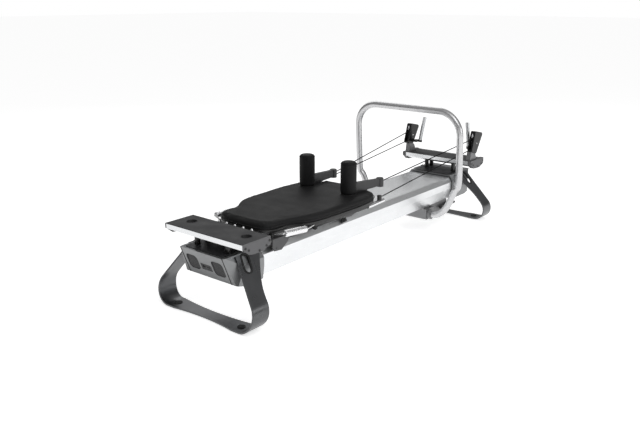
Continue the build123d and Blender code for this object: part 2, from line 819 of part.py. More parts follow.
def build_pulley(side):
    """Grooved rope wheel turning on its pin."""
    hub = (side * PULLEY_X, PULLEY_Y, PULLEY_Z)
    with BuildSketch(Plane(origin=hub, x_dir=(1, 0, 0), z_dir=(0, 1, 0))) as groove:
        Polygon(
            (-PULLEY_W / 2, PULLEY_PIN_R + RUN_FIT),
            (PULLEY_W / 2, PULLEY_PIN_R + RUN_FIT),
            (PULLEY_W / 2, PULLEY_R),
            (PULLEY_W / 2 - PULLEY_RIM, PULLEY_R),
            (PULLEY_FLOOR, PULLEY_GROOVE_R),
            (-PULLEY_FLOOR, PULLEY_GROOVE_R),
            (-PULLEY_W / 2 + PULLEY_RIM, PULLEY_R),
            (-PULLEY_W / 2, PULLEY_R),
            align=None,
        )
    revolve(groove.sketch, axis=Axis(hub, (1, 0, 0)))


with BuildPart() as left_pulley:
    build_pulley(-1)
save(left_pulley, "left_pulley")

with BuildPart() as right_pulley:
    build_pulley(1)
save(right_pulley, "right_pulley")

with BuildPart() as pulley_stems:
    for side in (-1, 1):
        with BuildSketch(Plane.YZ.offset(side * STEM_X - STEM_HALF)):
            Polygon(*STEM_SIDE, align=None)
        extrude(amount=2 * STEM_HALF)
    add(pulley_hoods.part, mode=Mode.SUBTRACT)
save(pulley_stems, "pulley_stems")

with BuildPart() as rope_posts:
    for side in (-1, 1):
        rod(on_side(side, ROPE_POST_FOOT), on_side(side, ROPE_POST_TOP), ROPE_POST_R)
save(rope_posts, "rope_posts")

with BuildPart() as post_clips:
    for side in (-1, 1):
        rod(on_side(side, CLIP_FOOT), on_side(side, ROPE_POST_FOOT), CLIP_R)
        inner = side * CLIP_X
        outer = side * (PULLEY_X - HOOD_W / 2)
        block(min(inner, outer), max(inner, outer), *CLIP_Y, *CLIP_Z)
    add(rope_posts.part, mode=Mode.SUBTRACT)
save(post_clips, "post_clips")

# ---------------------------------------------------------------- springs
spring_xs = [SPRING_PITCH * (i - (SPRING_COUNT - 1) / 2) for i in range(SPRING_COUNT)]
with BuildPart() as spring_bar:
    block(-SPRING_BAR_HALF, SPRING_BAR_HALF, *SPRING_BAR_Y, SPRING_BAR_Z0, BAR_TOP)
    for side in (-1, 1):
        foot = side * BAR_FOOT_X
        block(foot - BAR_FOOT_W, foot + BAR_FOOT_W, *BAR_FOOT_Y, HOUSING_TOP, SPRING_BAR_Z0)
save(spring_bar, "spring_bar")

with BuildPart() as spring_hooks:
    for x in spring_xs:
        rod((x, HOOK_Y, BAR_TOP), (x, HOOK_Y, HOOK_Z), HOOK_R)
        with Locations((x, HOOK_Y, HOOK_Z)):
            Sphere(HOOK_BALL_R)
save(spring_hooks, "spring_hooks")

with BuildPart() as springs:
    for x in spring_xs:
        tube_ring((x, SPRING_Y0, SPRING_Z), (x, SPRING_Y1, SPRING_Z), SPRING_R, SPRING_CORE_R)
save(springs, "springs")

# ---------------------------------------------------------------- carriage
def plan_outline(points):
    """Symmetric rounded plan outline through the points of its right half."""
    with BuildSketch() as plan:
        with BuildLine():
            Spline(*points, tangents=((1, 0), (-1, 0)))
            Spline(*[(-x, y) for x, y in points], tangents=((-1, 0), (1, 0)))
        make_face()
    add(plan.sketch)


board_mid = (CUSHION_HALF[0][1] + CUSHION_HALF[-1][1]) / 2
board_half = [(x * BOARD_SCALE, board_mid + (y - board_mid) * BOARD_SCALE) for x, y in CUSHION_HALF]
with BuildPart() as carriage_board:
    with BuildSketch(Plane.XY.offset(BOARD_Z)):
        plan_outline(board_half)
    extrude(amount=BOARD_T)
save(carriage_board, "carriage_board")

with BuildPart() as carriage_cushion:
    with BuildSketch(Plane.XY.offset(BOARD_Z + BOARD_T)):
        plan_outline(CUSHION_HALF)
    extrude(amount=CUSHION_TOP - BOARD_Z - BOARD_T)
save(carriage_cushion, "carriage_cushion")

frame_top = BOARD_Z - FRAME_PLATE
with BuildPart() as carriage_frame:
    block(-FRAME_HALF, FRAME_HALF, *FRAME_Y, frame_top, BOARD_Z)
    for side in (-1, 1):
        inner = side * FRAME_RAIL_X[0]
        outer = side * FRAME_RAIL_X[1]
        block(min(inner, outer), max(inner, outer), *FRAME_RAIL_Y, FRAME_Z0, frame_top)
    block(-FRAME_RAIL_X[0], FRAME_RAIL_X[0], *FRAME_TIE_Y, FRAME_TIE_Z, frame_top)
save(carriage_frame, "carriage_frame")

with BuildPart() as carriage_skirts:
    for side in (-1, 1):
        with BuildSketch(Plane.XY.offset(BOARD_Z - SKIRT_H)):
            Polygon(*[(side * x, y) for x, y in SKIRT_PLAN], align=None)
        extrude(amount=SKIRT_H)
save(carriage_skirts, "carriage_skirts")

bevel_dx = RAIL_HALF - RAIL_TOP_HALF
bevel_dz = RAIL_TOP - RAIL_SHOULDER_Z
bevel_len = hypot(bevel_dx, bevel_dz)
norm_x = bevel_dz / bevel_len
norm_z = bevel_dx / bevel_len
roller_x = (RAIL_TOP_HALF + RAIL_HALF) / 2 + norm_x * (ROLLER_R + WHEEL_GAP)
roller_z = (RAIL_TOP + RAIL_SHOULDER_Z) / 2 + norm_z * (ROLLER_R + WHEEL_GAP)


def roller_point(side, y, along):
    """Point on a bevel roller's axis, a distance up and inwards along it."""
    return (side * (roller_x - norm_z * along), y, roller_z + norm_x * along)


def wheel_point(side, y, along):
    """Point on a top wheel's axis, a distance outwards along it."""
    return (side * (WHEEL_X + along), y, RAIL_TOP + WHEEL_R + WHEEL_GAP)


with BuildPart() as truck_brackets:
    for side in (-1, 1):
        for wheel_y, roller_y, low in zip(WHEEL_Y, ROLLER_Y, FLANGE_LOW):
            y0 = min(wheel_y, roller_y) - TRUCK_MARGIN
            y1 = max(wheel_y, roller_y) + TRUCK_MARGIN
            inner = side * TRUCK_INNER
            outer = side * TRUCK_OUTER
            plate_z = FRAME_Z0 - TRUCK_PLATE
            block(min(inner, outer), max(inner, outer), y0, y1, plate_z, FRAME_Z0)
            web = side * TRUCK_WEB
            block(min(inner, web), max(inner, web), y0, y1, TRUCK_WEB_Z0, plate_z)
            with BuildSketch(Plane.YZ.offset(side * FLANGE_X - FLANGE_T / 2)):
                Polygon(
                    (y0, FRAME_Z0),
                    (y1, FRAME_Z0),
                    (y1 - FLANGE_CUT, (low + FRAME_Z0) / 2),
                    (y1 - FLANGE_FOOT, low),
                    (y0 + FLANGE_CUT, low + FLANGE_RISE),
                    (y0, low + FLANGE_CORNER),
                    align=None,
                )
            extrude(amount=FLANGE_T)
            wheel_ends = [wheel_point(side, wheel_y, along) for along in WHEEL_BORE]
            rod(*wheel_ends, AXLE_R, mode=Mode.SUBTRACT)
            roller_ends = [roller_point(side, roller_y, along) for along in ROLLER_BORE]
            rod(*roller_ends, AXLE_R, mode=Mode.SUBTRACT)
save(truck_brackets, "truck_brackets")

with BuildPart() as truck_axles:
    for side in (-1, 1):
        for wheel_y in WHEEL_Y:
            rod(*[wheel_point(side, wheel_y, along) for along in WHEEL_AXLE], AXLE_R)
        for roller_y in ROLLER_Y:
            rod(*[roller_point(side, roller_y, along) for along in ROLLER_AXLE], AXLE_R)
save(truck_axles, "truck_axles")


def build_wheel(side, y):
    """Top wheel that carries the carriage on the rail."""
    start = Vector(*wheel_point(side, y, -WHEEL_W / 2))
    with BuildSketch(Plane(origin=start, z_dir=(side, 0, 0))) as disc:
        Circle(WHEEL_R)
        Circle(AXLE_R + RUN_FIT, mode=Mode.SUBTRACT)
    extrude(disc.sketch, amount=WHEEL_W)


def build_roller(side, y):
    """Roller that guides the carriage on the rail's bevel."""
    start = Vector(*roller_point(side, y, -ROLLER_W / 2))
    end = Vector(*roller_point(side, y, ROLLER_W / 2))
    with BuildSketch(Plane(origin=start, z_dir=end - start)) as disc:
        Circle(ROLLER_R)
        Circle(AXLE_R + RUN_FIT, mode=Mode.SUBTRACT)
    extrude(disc.sketch, amount=ROLLER_W)


with BuildPart() as wheel_near_left:
    build_wheel(-1, WHEEL_Y[0])
save(wheel_near_left, "wheel_near_left")

with BuildPart() as wheel_near_right:
    build_wheel(1, WHEEL_Y[0])
save(wheel_near_right, "wheel_near_right")

with BuildPart() as wheel_far_left:
    build_wheel(-1, WHEEL_Y[1])
save(wheel_far_left, "wheel_far_left")

with BuildPart() as wheel_far_right:
    build_wheel(1, WHEEL_Y[1])
save(wheel_far_right, "wheel_far_right")

with BuildPart() as roller_near_left:
    build_roller(-1, ROLLER_Y[0])
save(roller_near_left, "roller_near_left")

with BuildPart() as roller_near_right:
    build_roller(1, ROLLER_Y[0])
save(roller_near_right, "roller_near_right")

with BuildPart() as roller_far_left:
    build_roller(-1, ROLLER_Y[1])
save(roller_far_left, "roller_far_left")

with BuildPart() as roller_far_right:
    build_roller(1, ROLLER_Y[1])
save(roller_far_right, "roller_far_right")

with BuildPart() as bracket_screws:
    for side in (-1, 1):
        for wheel_y, roller_y, low in zip(WHEEL_Y, ROLLER_Y, FLANGE_LOW):
            places = (
                (wheel_y + BRACKET_SCREW_DY, BRACKET_SCREW_Z),
                (roller_y - BRACKET_SCREW_DY, low + BRACKET_SCREW_RISE),
            )
            head = TRUCK_OUTER + BRACKET_SCREW_HEAD
            for y, z in places:
                rod((side * TRUCK_OUTER, y, z), (side * head, y, z), BRACKET_SCREW_R)
save(bracket_screws, "bracket_screws")

with BuildPart() as bump_stops:
    with Locations((-BUMP_X, BUMP_Y, BUMP_Z), (BUMP_X, BUMP_Y, BUMP_Z)):
        Cylinder(BUMP_R, BUMP_H, align=(Align.CENTER, Align.CENTER, Align.MIN))
    fillet(bump_stops.edges().group_by(Axis.Z)[0], BUMP_EDGE_R)
save(bump_stops, "bump_stops")

# ---------------------------------------------------------------- shoulder rests
with BuildPart() as rest_bases:
    with Locations((-REST_X, REST_Y, CUSHION_TOP), (REST_X, REST_Y, CUSHION_TOP)):
        Cylinder(REST_R - REST_BASE_INSET, REST_BASE_T, align=(Align.CENTER, Align.CENTER, Align.MIN))
save(rest_bases, "rest_bases")


def build_rest(side):
    """Upright padded shoulder rest."""
    with Locations((side * REST_X, REST_Y, CUSHION_TOP + REST_BASE_T)):
        Cylinder(
            REST_R,
            REST_TOP - CUSHION_TOP - REST_BASE_T,
            align=(Align.CENTER, Align.CENTER, Align.MIN),
        )


with BuildPart() as left_rest:
    build_rest(-1)
    fillet(left_rest.edges().group_by(Axis.Z)[-1], REST_EDGE_R)
save(left_rest, "left_rest")

with BuildPart() as right_rest:
    build_rest(1)
    fillet(right_rest.edges().group_by(Axis.Z)[-1], REST_EDGE_R)
save(right_rest, "right_rest")

arm_angle = degrees(atan2(KNOB_X - REST_X, KNOB_Y - REST_Y))
arm_len = hypot(KNOB_X - REST_X, KNOB_Y - REST_Y)
with BuildPart() as rest_arms:
    for side in (-1, 1):
        arm_plane = Plane(
            origin=(side * REST_X, REST_Y, 0),
            x_dir=(side * sin(radians(arm_angle)), cos(radians(arm_angle)), 0),
            z_dir=(cos(radians(arm_angle)), -side * sin(radians(arm_angle)), 0),
        )
        with BuildSketch(arm_plane.offset(-ARM_T / 2)):
            Polygon(
                (REST_R - ARM_ROOT, ARM_Z0),
                (REST_R - ARM_ROOT, ARM_Z_REST),
                (arm_len - KNOB_R + ARM_LAP, ARM_Z_KNOB),
                (arm_len - KNOB_R + ARM_LAP, ARM_Z0),
                align=None,
            )
        extrude(amount=ARM_T)
    with Locations((-REST_X, REST_Y, REST_CUT[0]), (REST_X, REST_Y, REST_CUT[0])):
        Cylinder(REST_R + REST_FIT, REST_CUT[1], mode=Mode.SUBTRACT)
    with Locations((-KNOB_X, KNOB_Y, KNOB_CUT[0]), (KNOB_X, KNOB_Y, KNOB_CUT[0])):
        Cylinder(KNOB_R, KNOB_CUT[1], mode=Mode.SUBTRACT)
save(rest_arms, "rest_arms")

with BuildPart() as rest_knobs:
    with Locations((-KNOB_X, KNOB_Y, KNOB_Z0), (KNOB_X, KNOB_Y, KNOB_Z0)):
        Cylinder(KNOB_R, KNOB_H, align=(Align.CENTER, Align.CENTER, Align.MIN))
    chamfer(rest_knobs.edges().group_by(Axis.Z)[-1], KNOB_CHAMFER)
save(rest_knobs, "rest_knobs")

# ---------------------------------------------------------------- carriage handles
with BuildPart() as grip_rods:
    for side in (-1, 1):
        a = on_side(side, GRIP_A)
        b = on_side(side, GRIP_B)
        start = on_side(side, GRIP_START)
        end = on_side(side, GRIP_END)
        rod(a, b, GRIP_ROD_R)
        rod(start, a, GRIP_ROD_R)
        rod(b, end, GRIP_ROD_R)
        rod((side * GRIP_ROOT_X, start[1], start[2]), start, GRIP_ROD_R)
        for corner in (a, b, start):
            with Locations(corner):
                Sphere(GRIP_ROD_R)
save(grip_rods, "grip_rods")

with BuildPart() as grip_sleeves:
    for side in (-1, 1):
        a = Vector(*on_side(side, GRIP_A))
        b = Vector(*on_side(side, GRIP_B))
        along = (b - a).normalized()
        start = tuple(a + along * SLEEVE_GAP)
        end = tuple(b - along * SLEEVE_GAP)
        tube_ring(start, end, GRIP_R, GRIP_ROD_R)
save(grip_sleeves, "grip_sleeves")

with BuildPart() as corner_tubes:
    for side in (-1, 1):
        rod(on_side(side, CORNER_A), on_side(side, CORNER_B), CORNER_R)
save(corner_tubes, "corner_tubes")

with BuildPart() as rope_anchors:
    for side in (-1, 1):
        with Locations((side * ANCHOR_X, ANCHOR_Y, ANCHOR_Z0)):
            height = ANCHOR_Z1 - ANCHOR_Z0
            Cylinder(ANCHOR_R, height, align=(Align.CENTER, Align.CENTER, Align.MIN))
        with BuildSketch(Plane.XY.offset(ANCHOR_PLATE_Z)):
            Polygon(*[(side * x, y) for x, y in ANCHOR_PLATE], align=None)
        extrude(amount=ANCHOR_PLATE_T)
    add(corner_tubes.part, mode=Mode.SUBTRACT)
save(rope_anchors, "rope_anchors")

with BuildPart() as ropes:
    for side in (-1, 1):
        rod(
            (side * (KNOB_X + UPPER_ROPE_DX), KNOB_Y + KNOB_R + UPPER_ROPE_GAP, UPPER_ROPE_Z),
            (side * PULLEY_X, ROPE_END_Y, PULLEY_Z + UPPER_ROPE_RISE),
            ROPE_R,
        )
        rod(
            (side * ANCHOR_X, ANCHOR_Y + ANCHOR_R + LOWER_ROPE_GAP, LOWER_ROPE_Z),
            (side * PULLEY_X, ROPE_END_Y, PULLEY_Z - LOWER_ROPE_DROP),
            ROPE_R,
        )
save(ropes, "ropes")

# ---------------------------------------------------------------- foot bar
arc_c = BAR_CORNER * (1 - cos(pi / 4))


def build_half_bar(radius):
    """Solid right half of the foot bar's path at this radius, upright with its foot at the origin."""
    with BuildLine(Plane.XZ) as path:
        Line((0, 0), (BAR_FOOT_HALF, 0))
        Spline(*BAR_CURVE, tangents=((1, 0), (0, 1)))
        Line((BAR_HALF, BAR_CURVE[-1][1]), (BAR_HALF, BAR_HEIGHT - BAR_CORNER))
        ThreePointArc(
            (BAR_HALF, BAR_HEIGHT - BAR_CORNER),
            (BAR_HALF - arc_c, BAR_HEIGHT - arc_c),
            (BAR_HALF - BAR_CORNER, BAR_HEIGHT),
        )
        Line((BAR_HALF - BAR_CORNER, BAR_HEIGHT), (0, BAR_HEIGHT))
    with BuildSketch(Plane(origin=(0, 0, 0), z_dir=(1, 0, 0))) as disc:
        Circle(radius)
    sweep(disc.sketch, path=path.wires()[0])


with BuildPart() as bar_outer:
    build_half_bar(BAR_R)
with BuildPart() as bar_inner:
    build_half_bar(BAR_R - BAR_WALL)
with BuildPart() as footbar_loop:
    with Locations(Location((0, BAR_Y, BAR_Z), (BAR_LEAN, 0, 0))):
        add(bar_outer.part)
        add(bar_outer.part.mirror(Plane.YZ))
        add(bar_inner.part, mode=Mode.SUBTRACT)
        add(bar_inner.part.mirror(Plane.YZ), mode=Mode.SUBTRACT)
save(footbar_loop, "footbar_loop")

with BuildPart() as footbar_bracket:
    with BuildSketch(Plane.YZ.offset(-BRACKET_HALF)):
        Polygon(*[(BAR_Y + dy, z) for dy, z in BRACKET_SIDE], align=None)
    extrude(amount=2 * BRACKET_HALF)
    slot_y = [BAR_Y + dy for dy in BRACKET_SLOT_Y]
    block(-BRACKET_SLOT_HALF, BRACKET_SLOT_HALF, *slot_y, *BRACKET_SLOT_Z, mode=Mode.SUBTRACT)
    for side in (-1, 1):
        notch_x = sorted(side * x for x in BRACKET_NOTCH_X)
        notch_y = [BAR_Y + dy for dy in BRACKET_NOTCH_Y]
        block(*notch_x, *notch_y, *BRACKET_NOTCH_Z, mode=Mode.SUBTRACT)
    for side in (-1, 1):
        boss_end = (side * (BRACKET_HALF + BOSS_L), BAR_Y, BAR_Z)
        rod((side * BRACKET_HALF, BAR_Y, BAR_Z), boss_end, BOSS_R)
    rod((-BAR_HALF, BAR_Y, BAR_Z), (BAR_HALF, BAR_Y, BAR_Z), BAR_R + RUN_FIT, mode=Mode.SUBTRACT)
save(footbar_bracket, "footbar_bracket")

with BuildPart() as sector_plates:
    for x in SECTOR_X:
        with BuildSketch(Plane.YZ.offset(x)):
            Polygon(*SECTOR, align=None)
        extrude(amount=SECTOR_T)
save(sector_plates, "sector_plates")

with BuildPart() as sector_rims:
    for x in RIM_X:
        with BuildSketch(Plane.YZ.offset(x)):
            with BuildLine():
                Polyline(*SECTOR_RIM)
                offset(amount=RIM_HALF, side=Side.BOTH)
            make_face()
        extrude(amount=RIM_T)
    add(sector_plates.part, mode=Mode.SUBTRACT)
    add(footbar_bracket.part, mode=Mode.SUBTRACT)
save(sector_rims, "sector_rims")

with BuildPart() as sector_bolts:
    for side in (-1, 1):
        for y, z in BOLT_YZ:
            rod(*[(side * x, y, z) for x in BOLT_X], BOLT_R)
    rod(*[(x, LEVER_Y, LEVER_Z) for x in LEVER_PIN_X], LEVER_PIN_R)
save(sector_bolts, "sector_bolts")

with BuildPart() as release_lever:
    with BuildSketch(Plane.YZ.offset(LEVER_X)):
        with Locations((LEVER_Y, LEVER_Z)):
            Circle(LEVER_EYE_R)
        Polygon(*[(LEVER_Y + dy, LEVER_Z + dz) for dy, dz in LEVER_SIDE], align=None)
    extrude(amount=LEVER_T)
    lever_bore = [(x, LEVER_Y, LEVER_Z) for x in LEVER_BORE_X]
    rod(*lever_bore, LEVER_PIN_R + RUN_FIT, mode=Mode.SUBTRACT)
save(release_lever, "release_lever")

with BuildPart() as leg_screws:
    for sy in (-1, 1):
        for side in (-1, 1):
            for y in LEG_SCREW_Y:
                base = Vector(
                    side * (LEG_TOP_X + nz * LEG_SCREW_DOWN),
                    sy * y,
                    LEG_TOP_Z - nx * LEG_SCREW_DOWN,
                )
                tip = base + Vector(side * nx, 0, nz) * LEG_SCREW_HEAD
                rod(tuple(base), tuple(tip), LEG_SCREW_R)
save(leg_screws, "leg_screws")
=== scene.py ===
"""Looks of a pilates reformer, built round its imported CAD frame. Metres, +Z up, floor at z = 0."""

import json
from math import cos, pi, radians, sin, tan

import bpy
import numpy as np
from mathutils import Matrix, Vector


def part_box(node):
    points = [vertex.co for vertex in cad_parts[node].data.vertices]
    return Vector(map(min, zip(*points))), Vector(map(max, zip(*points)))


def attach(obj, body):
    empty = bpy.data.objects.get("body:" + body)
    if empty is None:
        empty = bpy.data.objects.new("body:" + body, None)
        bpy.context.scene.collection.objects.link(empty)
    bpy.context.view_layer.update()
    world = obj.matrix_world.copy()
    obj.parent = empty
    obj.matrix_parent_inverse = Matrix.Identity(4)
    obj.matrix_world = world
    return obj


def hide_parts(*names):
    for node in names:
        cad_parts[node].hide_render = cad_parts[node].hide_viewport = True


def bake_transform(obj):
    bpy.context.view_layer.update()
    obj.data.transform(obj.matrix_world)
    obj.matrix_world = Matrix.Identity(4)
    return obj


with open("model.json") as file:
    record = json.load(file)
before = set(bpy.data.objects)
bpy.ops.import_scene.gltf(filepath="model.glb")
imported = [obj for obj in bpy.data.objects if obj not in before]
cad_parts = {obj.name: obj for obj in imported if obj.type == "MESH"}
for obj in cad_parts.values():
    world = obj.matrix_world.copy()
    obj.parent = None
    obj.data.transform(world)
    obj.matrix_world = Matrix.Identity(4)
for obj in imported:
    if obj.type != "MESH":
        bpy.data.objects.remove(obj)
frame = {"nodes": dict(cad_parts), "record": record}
NODES = frame["nodes"]
COLOURS = {m["slot"]: m["base_color"] for m in frame["record"]["materials"]}
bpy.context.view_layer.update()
MM = 0.001
SIDES = ((-1, "left"), (1, "right"))
ENDS = ((-1, "front"), (1, "rear"))

# ---------------------------------------------------------------- camera and light
CAMERA_AT = (2.447, -3.316, 1.494)
CAMERA_LOOK = (-0.60342, 0.74409, -0.28672)
CAMERA_FOV = 48.26
SENSOR = 36.0
FLOOR_HALF = 60.0
FLOOR_SHADE = 0.93
FLOOR_GLOW = 0.62
ROOM_LIGHT = 0.42
# (z of the view direction, grey): a darker band just above the horizon
ROOM_STOPS = ((0.0, 0.55), (0.12, 0.35), (0.35, 0.75), (0.8, 1.0))
# (name, place, aimed at, (width, height), watts)
LAMPS = (
    ("key", (3.0, -1.5, 4.2), (0, 0, 0.3), (3.5, 3.5), 70),
    ("side", (4.8, 1.2, 1.6), (0, 0.3, 0.3), (4.0, 1.2), 36),
    ("back", (-3.0, 3.0, 3.5), (0, 0, 0.4), (4.0, 2.5), 45),
)

# ---------------------------------------------------------------- shade of each finish
# each gain multiplies the finish's colour in the record
LEG_GAIN = 2.1
HOUSING_GAIN = 0.9
CAP_GAIN = 0.75
SCREW_GAIN = 0.15
HOOD_GAIN = 0.3
BAR_GAIN = 0.75
PAD_GAIN = 0.45
ROLL_GAIN = 0.4
PAD_SHINE = 0.14
WORN_GAIN = 2.2
WELT_COLOUR = (0.02, 0.02, 0.02)
# painted highlight: the bright strips on the pulley hoods stand in for light caught on the hoods' front edges
HIGHLIGHT_STRIP_COLOUR = (0.8, 0.8, 0.82)
CUP_COLOUR = (0.012, 0.012, 0.013)
TRIM_COLOUR = (0.015, 0.015, 0.015)
# painted shade: the near-black colour of the screens' holes stands for the shaded inside of the housing seen
# through them
HOLE_SHADE_COLOUR = (0.002, 0.002, 0.002, 1)

# direction of a brushed finish's streaks, as the noise's stretch
ALONG_Y = (1.0, 0.02, 1.0)
ALONG_X = (0.02, 1.0, 1.0)
ALONG_Z = (1.0, 1.0, 0.02)
ALONG_HAIR = (1.0, 0.05, 1.0)

# ---------------------------------------------------------------- carriage pad
CUSHION_RING = 260
CUSHION_INFLATE_CAP = 6 * MM
CUSHION_VOXEL = 5 * MM
PAD_SHOULDER = 17 * MM
PAD_HEADROOM = 3 * MM
PAD_SEAM_IN = 3 * MM
PAD_SEAM_RISE = 0.32
PAD_WELT_R = 1.5 * MM
# (inset from the outline, share of the height) up the side
PAD_SIDE = (
    (9 * MM, 0.0), (4 * MM, 0.10), (3 * MM, 0.24), (6 * MM, PAD_SEAM_RISE), (3 * MM, 0.40),
    (2 * MM, 0.55), (4 * MM, 0.72), (9 * MM, 0.86), (PAD_SHOULDER, 0.94),
)
# (share of the shoulder's outline, share of the height) over the top
PAD_CROWN = ((0.93, 0.96), (0.75, 0.985), (0.5, 1.0), (0.25, 1.0), (0.02, 1.0))

# ---------------------------------------------------------------- shoulder rolls
REST_INFLATE_CAP = 4 * MM
REST_VOXEL = 4 * MM
ROLL_SIDES = 72
ROLL_WELT_STEPS = 96
ROLL_WELT_R = 1.3 * MM
ROLL_SEAM = (0.955, 0.925)
# (share of the radius, share of the height), as in ROLL_SEAM
ROLL_PROFILE = (
    (0.90, 0.0), (0.95, 0.03), (0.965, 0.10), (0.97, 0.5), (0.965, 0.88),
    (0.93, 0.94), (0.84, 0.975), (0.6, 0.995), (0.05, 1.0),
)

# ---------------------------------------------------------------- cloth simulation
SIM_FRAMES = 20
SIM_PRESSURE = 4.0
SIM_QUALITY = 5
SEAT_BAND = 2.5 * MM
SMOOTH_FACTOR = 0.5
SMOOTH_TIMES = 3

# ---------------------------------------------------------------- springs and ropes
COIL_PITCH = 5 * MM
COIL_WIRE = 1.5 * MM
COIL_STEPS = 14
COIL_SIDES = 6
SPRING_COUNT = 5
ROPE_R = 3.0 * MM
ROPE_SIDES = 10
ROPE_STEPS = 160
ROPE_TURN_STEPS = 40
ROPE_LAY = 12 * MM
ROPE_END_ZONE = 400 * MM
ROPE_END_SLICE = 3 * MM
PULLEY_GROOVE = 4 * MM
BRAID_STRANDS = 4

# ---------------------------------------------------------------- small details
WELT_SIDES = 8
SLEEVE_R = 17.4 * MM
SLEEVE_RIB = 0.9 * MM
SLEEVE_RIBS = 12
SLEEVE_MOUTH_R = 13 * MM
SLEEVE_STEPS = 96
SLEEVE_SIDES = 40
SLEEVE_END_SLICE = 4 * MM
FACE_BAND = 2 * MM
SCREEN_X = 88 * MM
SCREEN_WIDTH = 79 * MM
SCREEN_HEIGHT = 87 * MM
SCREEN_CORNER = 21.5 * MM
# (share of the outline, rise) from the screen's back edge to its middle
SCREEN_DOME = (
    (1.0, -1.5 * MM), (1.0, 0.5 * MM), (0.93, 0.6 * MM),
    (0.7, 1.4 * MM), (0.35, 2.0 * MM), (0.02, 2.2 * MM),
)
RIM_SCALE = 0.98
RIM_RISE = 1.2 * MM
RIM_R = 1.4 * MM
HOOD_FOOT_ZONE = 45 * MM
HOOD_HEAD_ZONE = 40 * MM
STRIP_STEPS = 14
STRIP_BELOW_TOP = 16 * MM
STRIP_ABOVE_WHEEL = 6 * MM
STRIP_HALF = 5.5 * MM
STRIP_SINK = 1 * MM
STRIP_LIFT = 1.5 * MM
STRIP_TAPER = 0.7
PEG_X = 190 * MM
PEG_DY = 102 * MM
PEG_DEPTH = 22 * MM
CUP_SIDES = 56
CUP_ABOVE_DECK = 3.6 * MM
# (radius, height over the lip) and (radius, height over the floor), from the outside in
CUP_LIP = (
    (26.5 * MM, -0.4 * MM), (28.5 * MM, 0.0), (28.0 * MM, 0.5 * MM),
    (25.6 * MM, 0.5 * MM), (24.4 * MM, -1.5 * MM),
)
CUP_WELL = ((24.2 * MM, 4 * MM), (21.0 * MM, 1.5 * MM), (0.2 * MM, 1 * MM))
TRIM_R = 2.2 * MM
TRIM_STEPS = 24
TRIM_FOOT_ZONE = 16 * MM
RAKED_FROM_Y = 1.1


# ================================================================ materials
class Graph:
    """A material's node tree, with short calls for making and joining nodes."""

    def __init__(self, name):
        self.material = bpy.data.materials.new(name)
        self.material.use_nodes = True
        self.tree = self.material.node_tree
        self.shader = self.tree.nodes["Principled BSDF"]
        self.coords = self.node("ShaderNodeTexCoord").outputs["Object"]

    def node(self, kind, **values):
        made = self.tree.nodes.new(kind)
        for key, value in values.items():
            setattr(made, key, value)
        return made

    def set(self, socket, value):
        if isinstance(value, bpy.types.NodeSocket):
            self.tree.links.new(value, socket)
        else:
            socket.default_value = value

    def feed(self, name, value):
        """Sets or links an input of the shader."""
        self.set(self.shader.inputs[name], value)

    def math(self, operation, a, b=0.0):
        made = self.node("ShaderNodeMath", operation=operation)
        self.set(made.inputs[0], a)
        self.set(made.inputs[1], b)
        return made.outputs[0]

    def remap(self, value, low, high, out_low, out_high):
        made = self.node("ShaderNodeMapRange")
        for index, item in enumerate((value, low, high, out_low, out_high)):
            self.set(made.inputs[index], item)
        return made.outputs[0]

    def noise(self, scale, detail=4.0, stretch=(1, 1, 1)):
        mapped = self.node("ShaderNodeMapping")
        self.set(mapped.inputs["Vector"], self.coords)
        mapped.inputs["Scale"].default_value = stretch
        made = self.node("ShaderNodeTexNoise")
        self.set(made.inputs["Vector"], mapped.outputs[0])
        made.inputs["Scale"].default_value = scale
        made.inputs["Detail"].default_value = detail
        return made.outputs["Fac"]

    def cells(self, scale, feature="DISTANCE_TO_EDGE"):
        made = self.node("ShaderNodeTexVoronoi", feature=feature)
        self.set(made.inputs["Vector"], self.coords)
        made.inputs["Scale"].default_value = scale
        return made.outputs["Distance"]

    def mix(self, factor, a, b):
        """Colour mix. The mix node's colour sockets are told apart only by their places."""
        made = self.node("ShaderNodeMix", data_type="RGBA")
        self.set(made.inputs[0], factor)
        self.set(made.inputs[6], a)
        self.set(made.inputs[7], b)
        return made.outputs[2]

    def edge_mask(self, radius, flat=0.98, worn=0.80):
        """(normal rounded by this radius, mask): the mask goes from 0 at flat to 1 at worn, both cosines."""
        soft = self.node("ShaderNodeBevel", samples=4)
        soft.inputs["Radius"].default_value = radius
        sharp = self.node("ShaderNodeNewGeometry").outputs["Normal"]
        dot = self.node("ShaderNodeVectorMath", operation="DOT_PRODUCT")
        self.set(dot.inputs[0], soft.outputs[0])
        self.set(dot.inputs[1], sharp)
        return soft.outputs[0], self.remap(dot.outputs["Value"], flat, worn, 0.0, 1.0)

    def bump(self, height, strength, distance, normal=None):
        made = self.node("ShaderNodeBump")
        self.set(made.inputs["Height"], height)
        made.inputs["Strength"].default_value = strength
        made.inputs["Distance"].default_value = distance
        if normal is not None:
            self.set(made.inputs["Normal"], normal)
        return made.outputs[0]


def tone(colour, gain):
    return tuple(min(1.0, c * gain) for c in colour[:3]) + (1.0,)


def grey(value):
    return (value, value, value, 1)


def paint(g, colour, blotch, mask, variation, metal, wear):
    """Base colour with slow variation and lighter worn edges."""
    base = g.mix(blotch, tone(colour, 1 - variation), tone(colour, 1 + variation))
    g.feed("Base Color", g.mix(g.math("MULTIPLY", mask, wear), base, tone(colour, WORN_GAIN)))
    g.feed("Metallic", metal)


def roughen(g, pattern, rough, low=0.85, high=1.15, start=0.3, end=0.7):
    """Roughness from rough * low to rough * high as the pattern goes from start to end."""
    g.feed("Roughness", g.remap(pattern, start, end, rough * low, min(1.0, rough * high)))


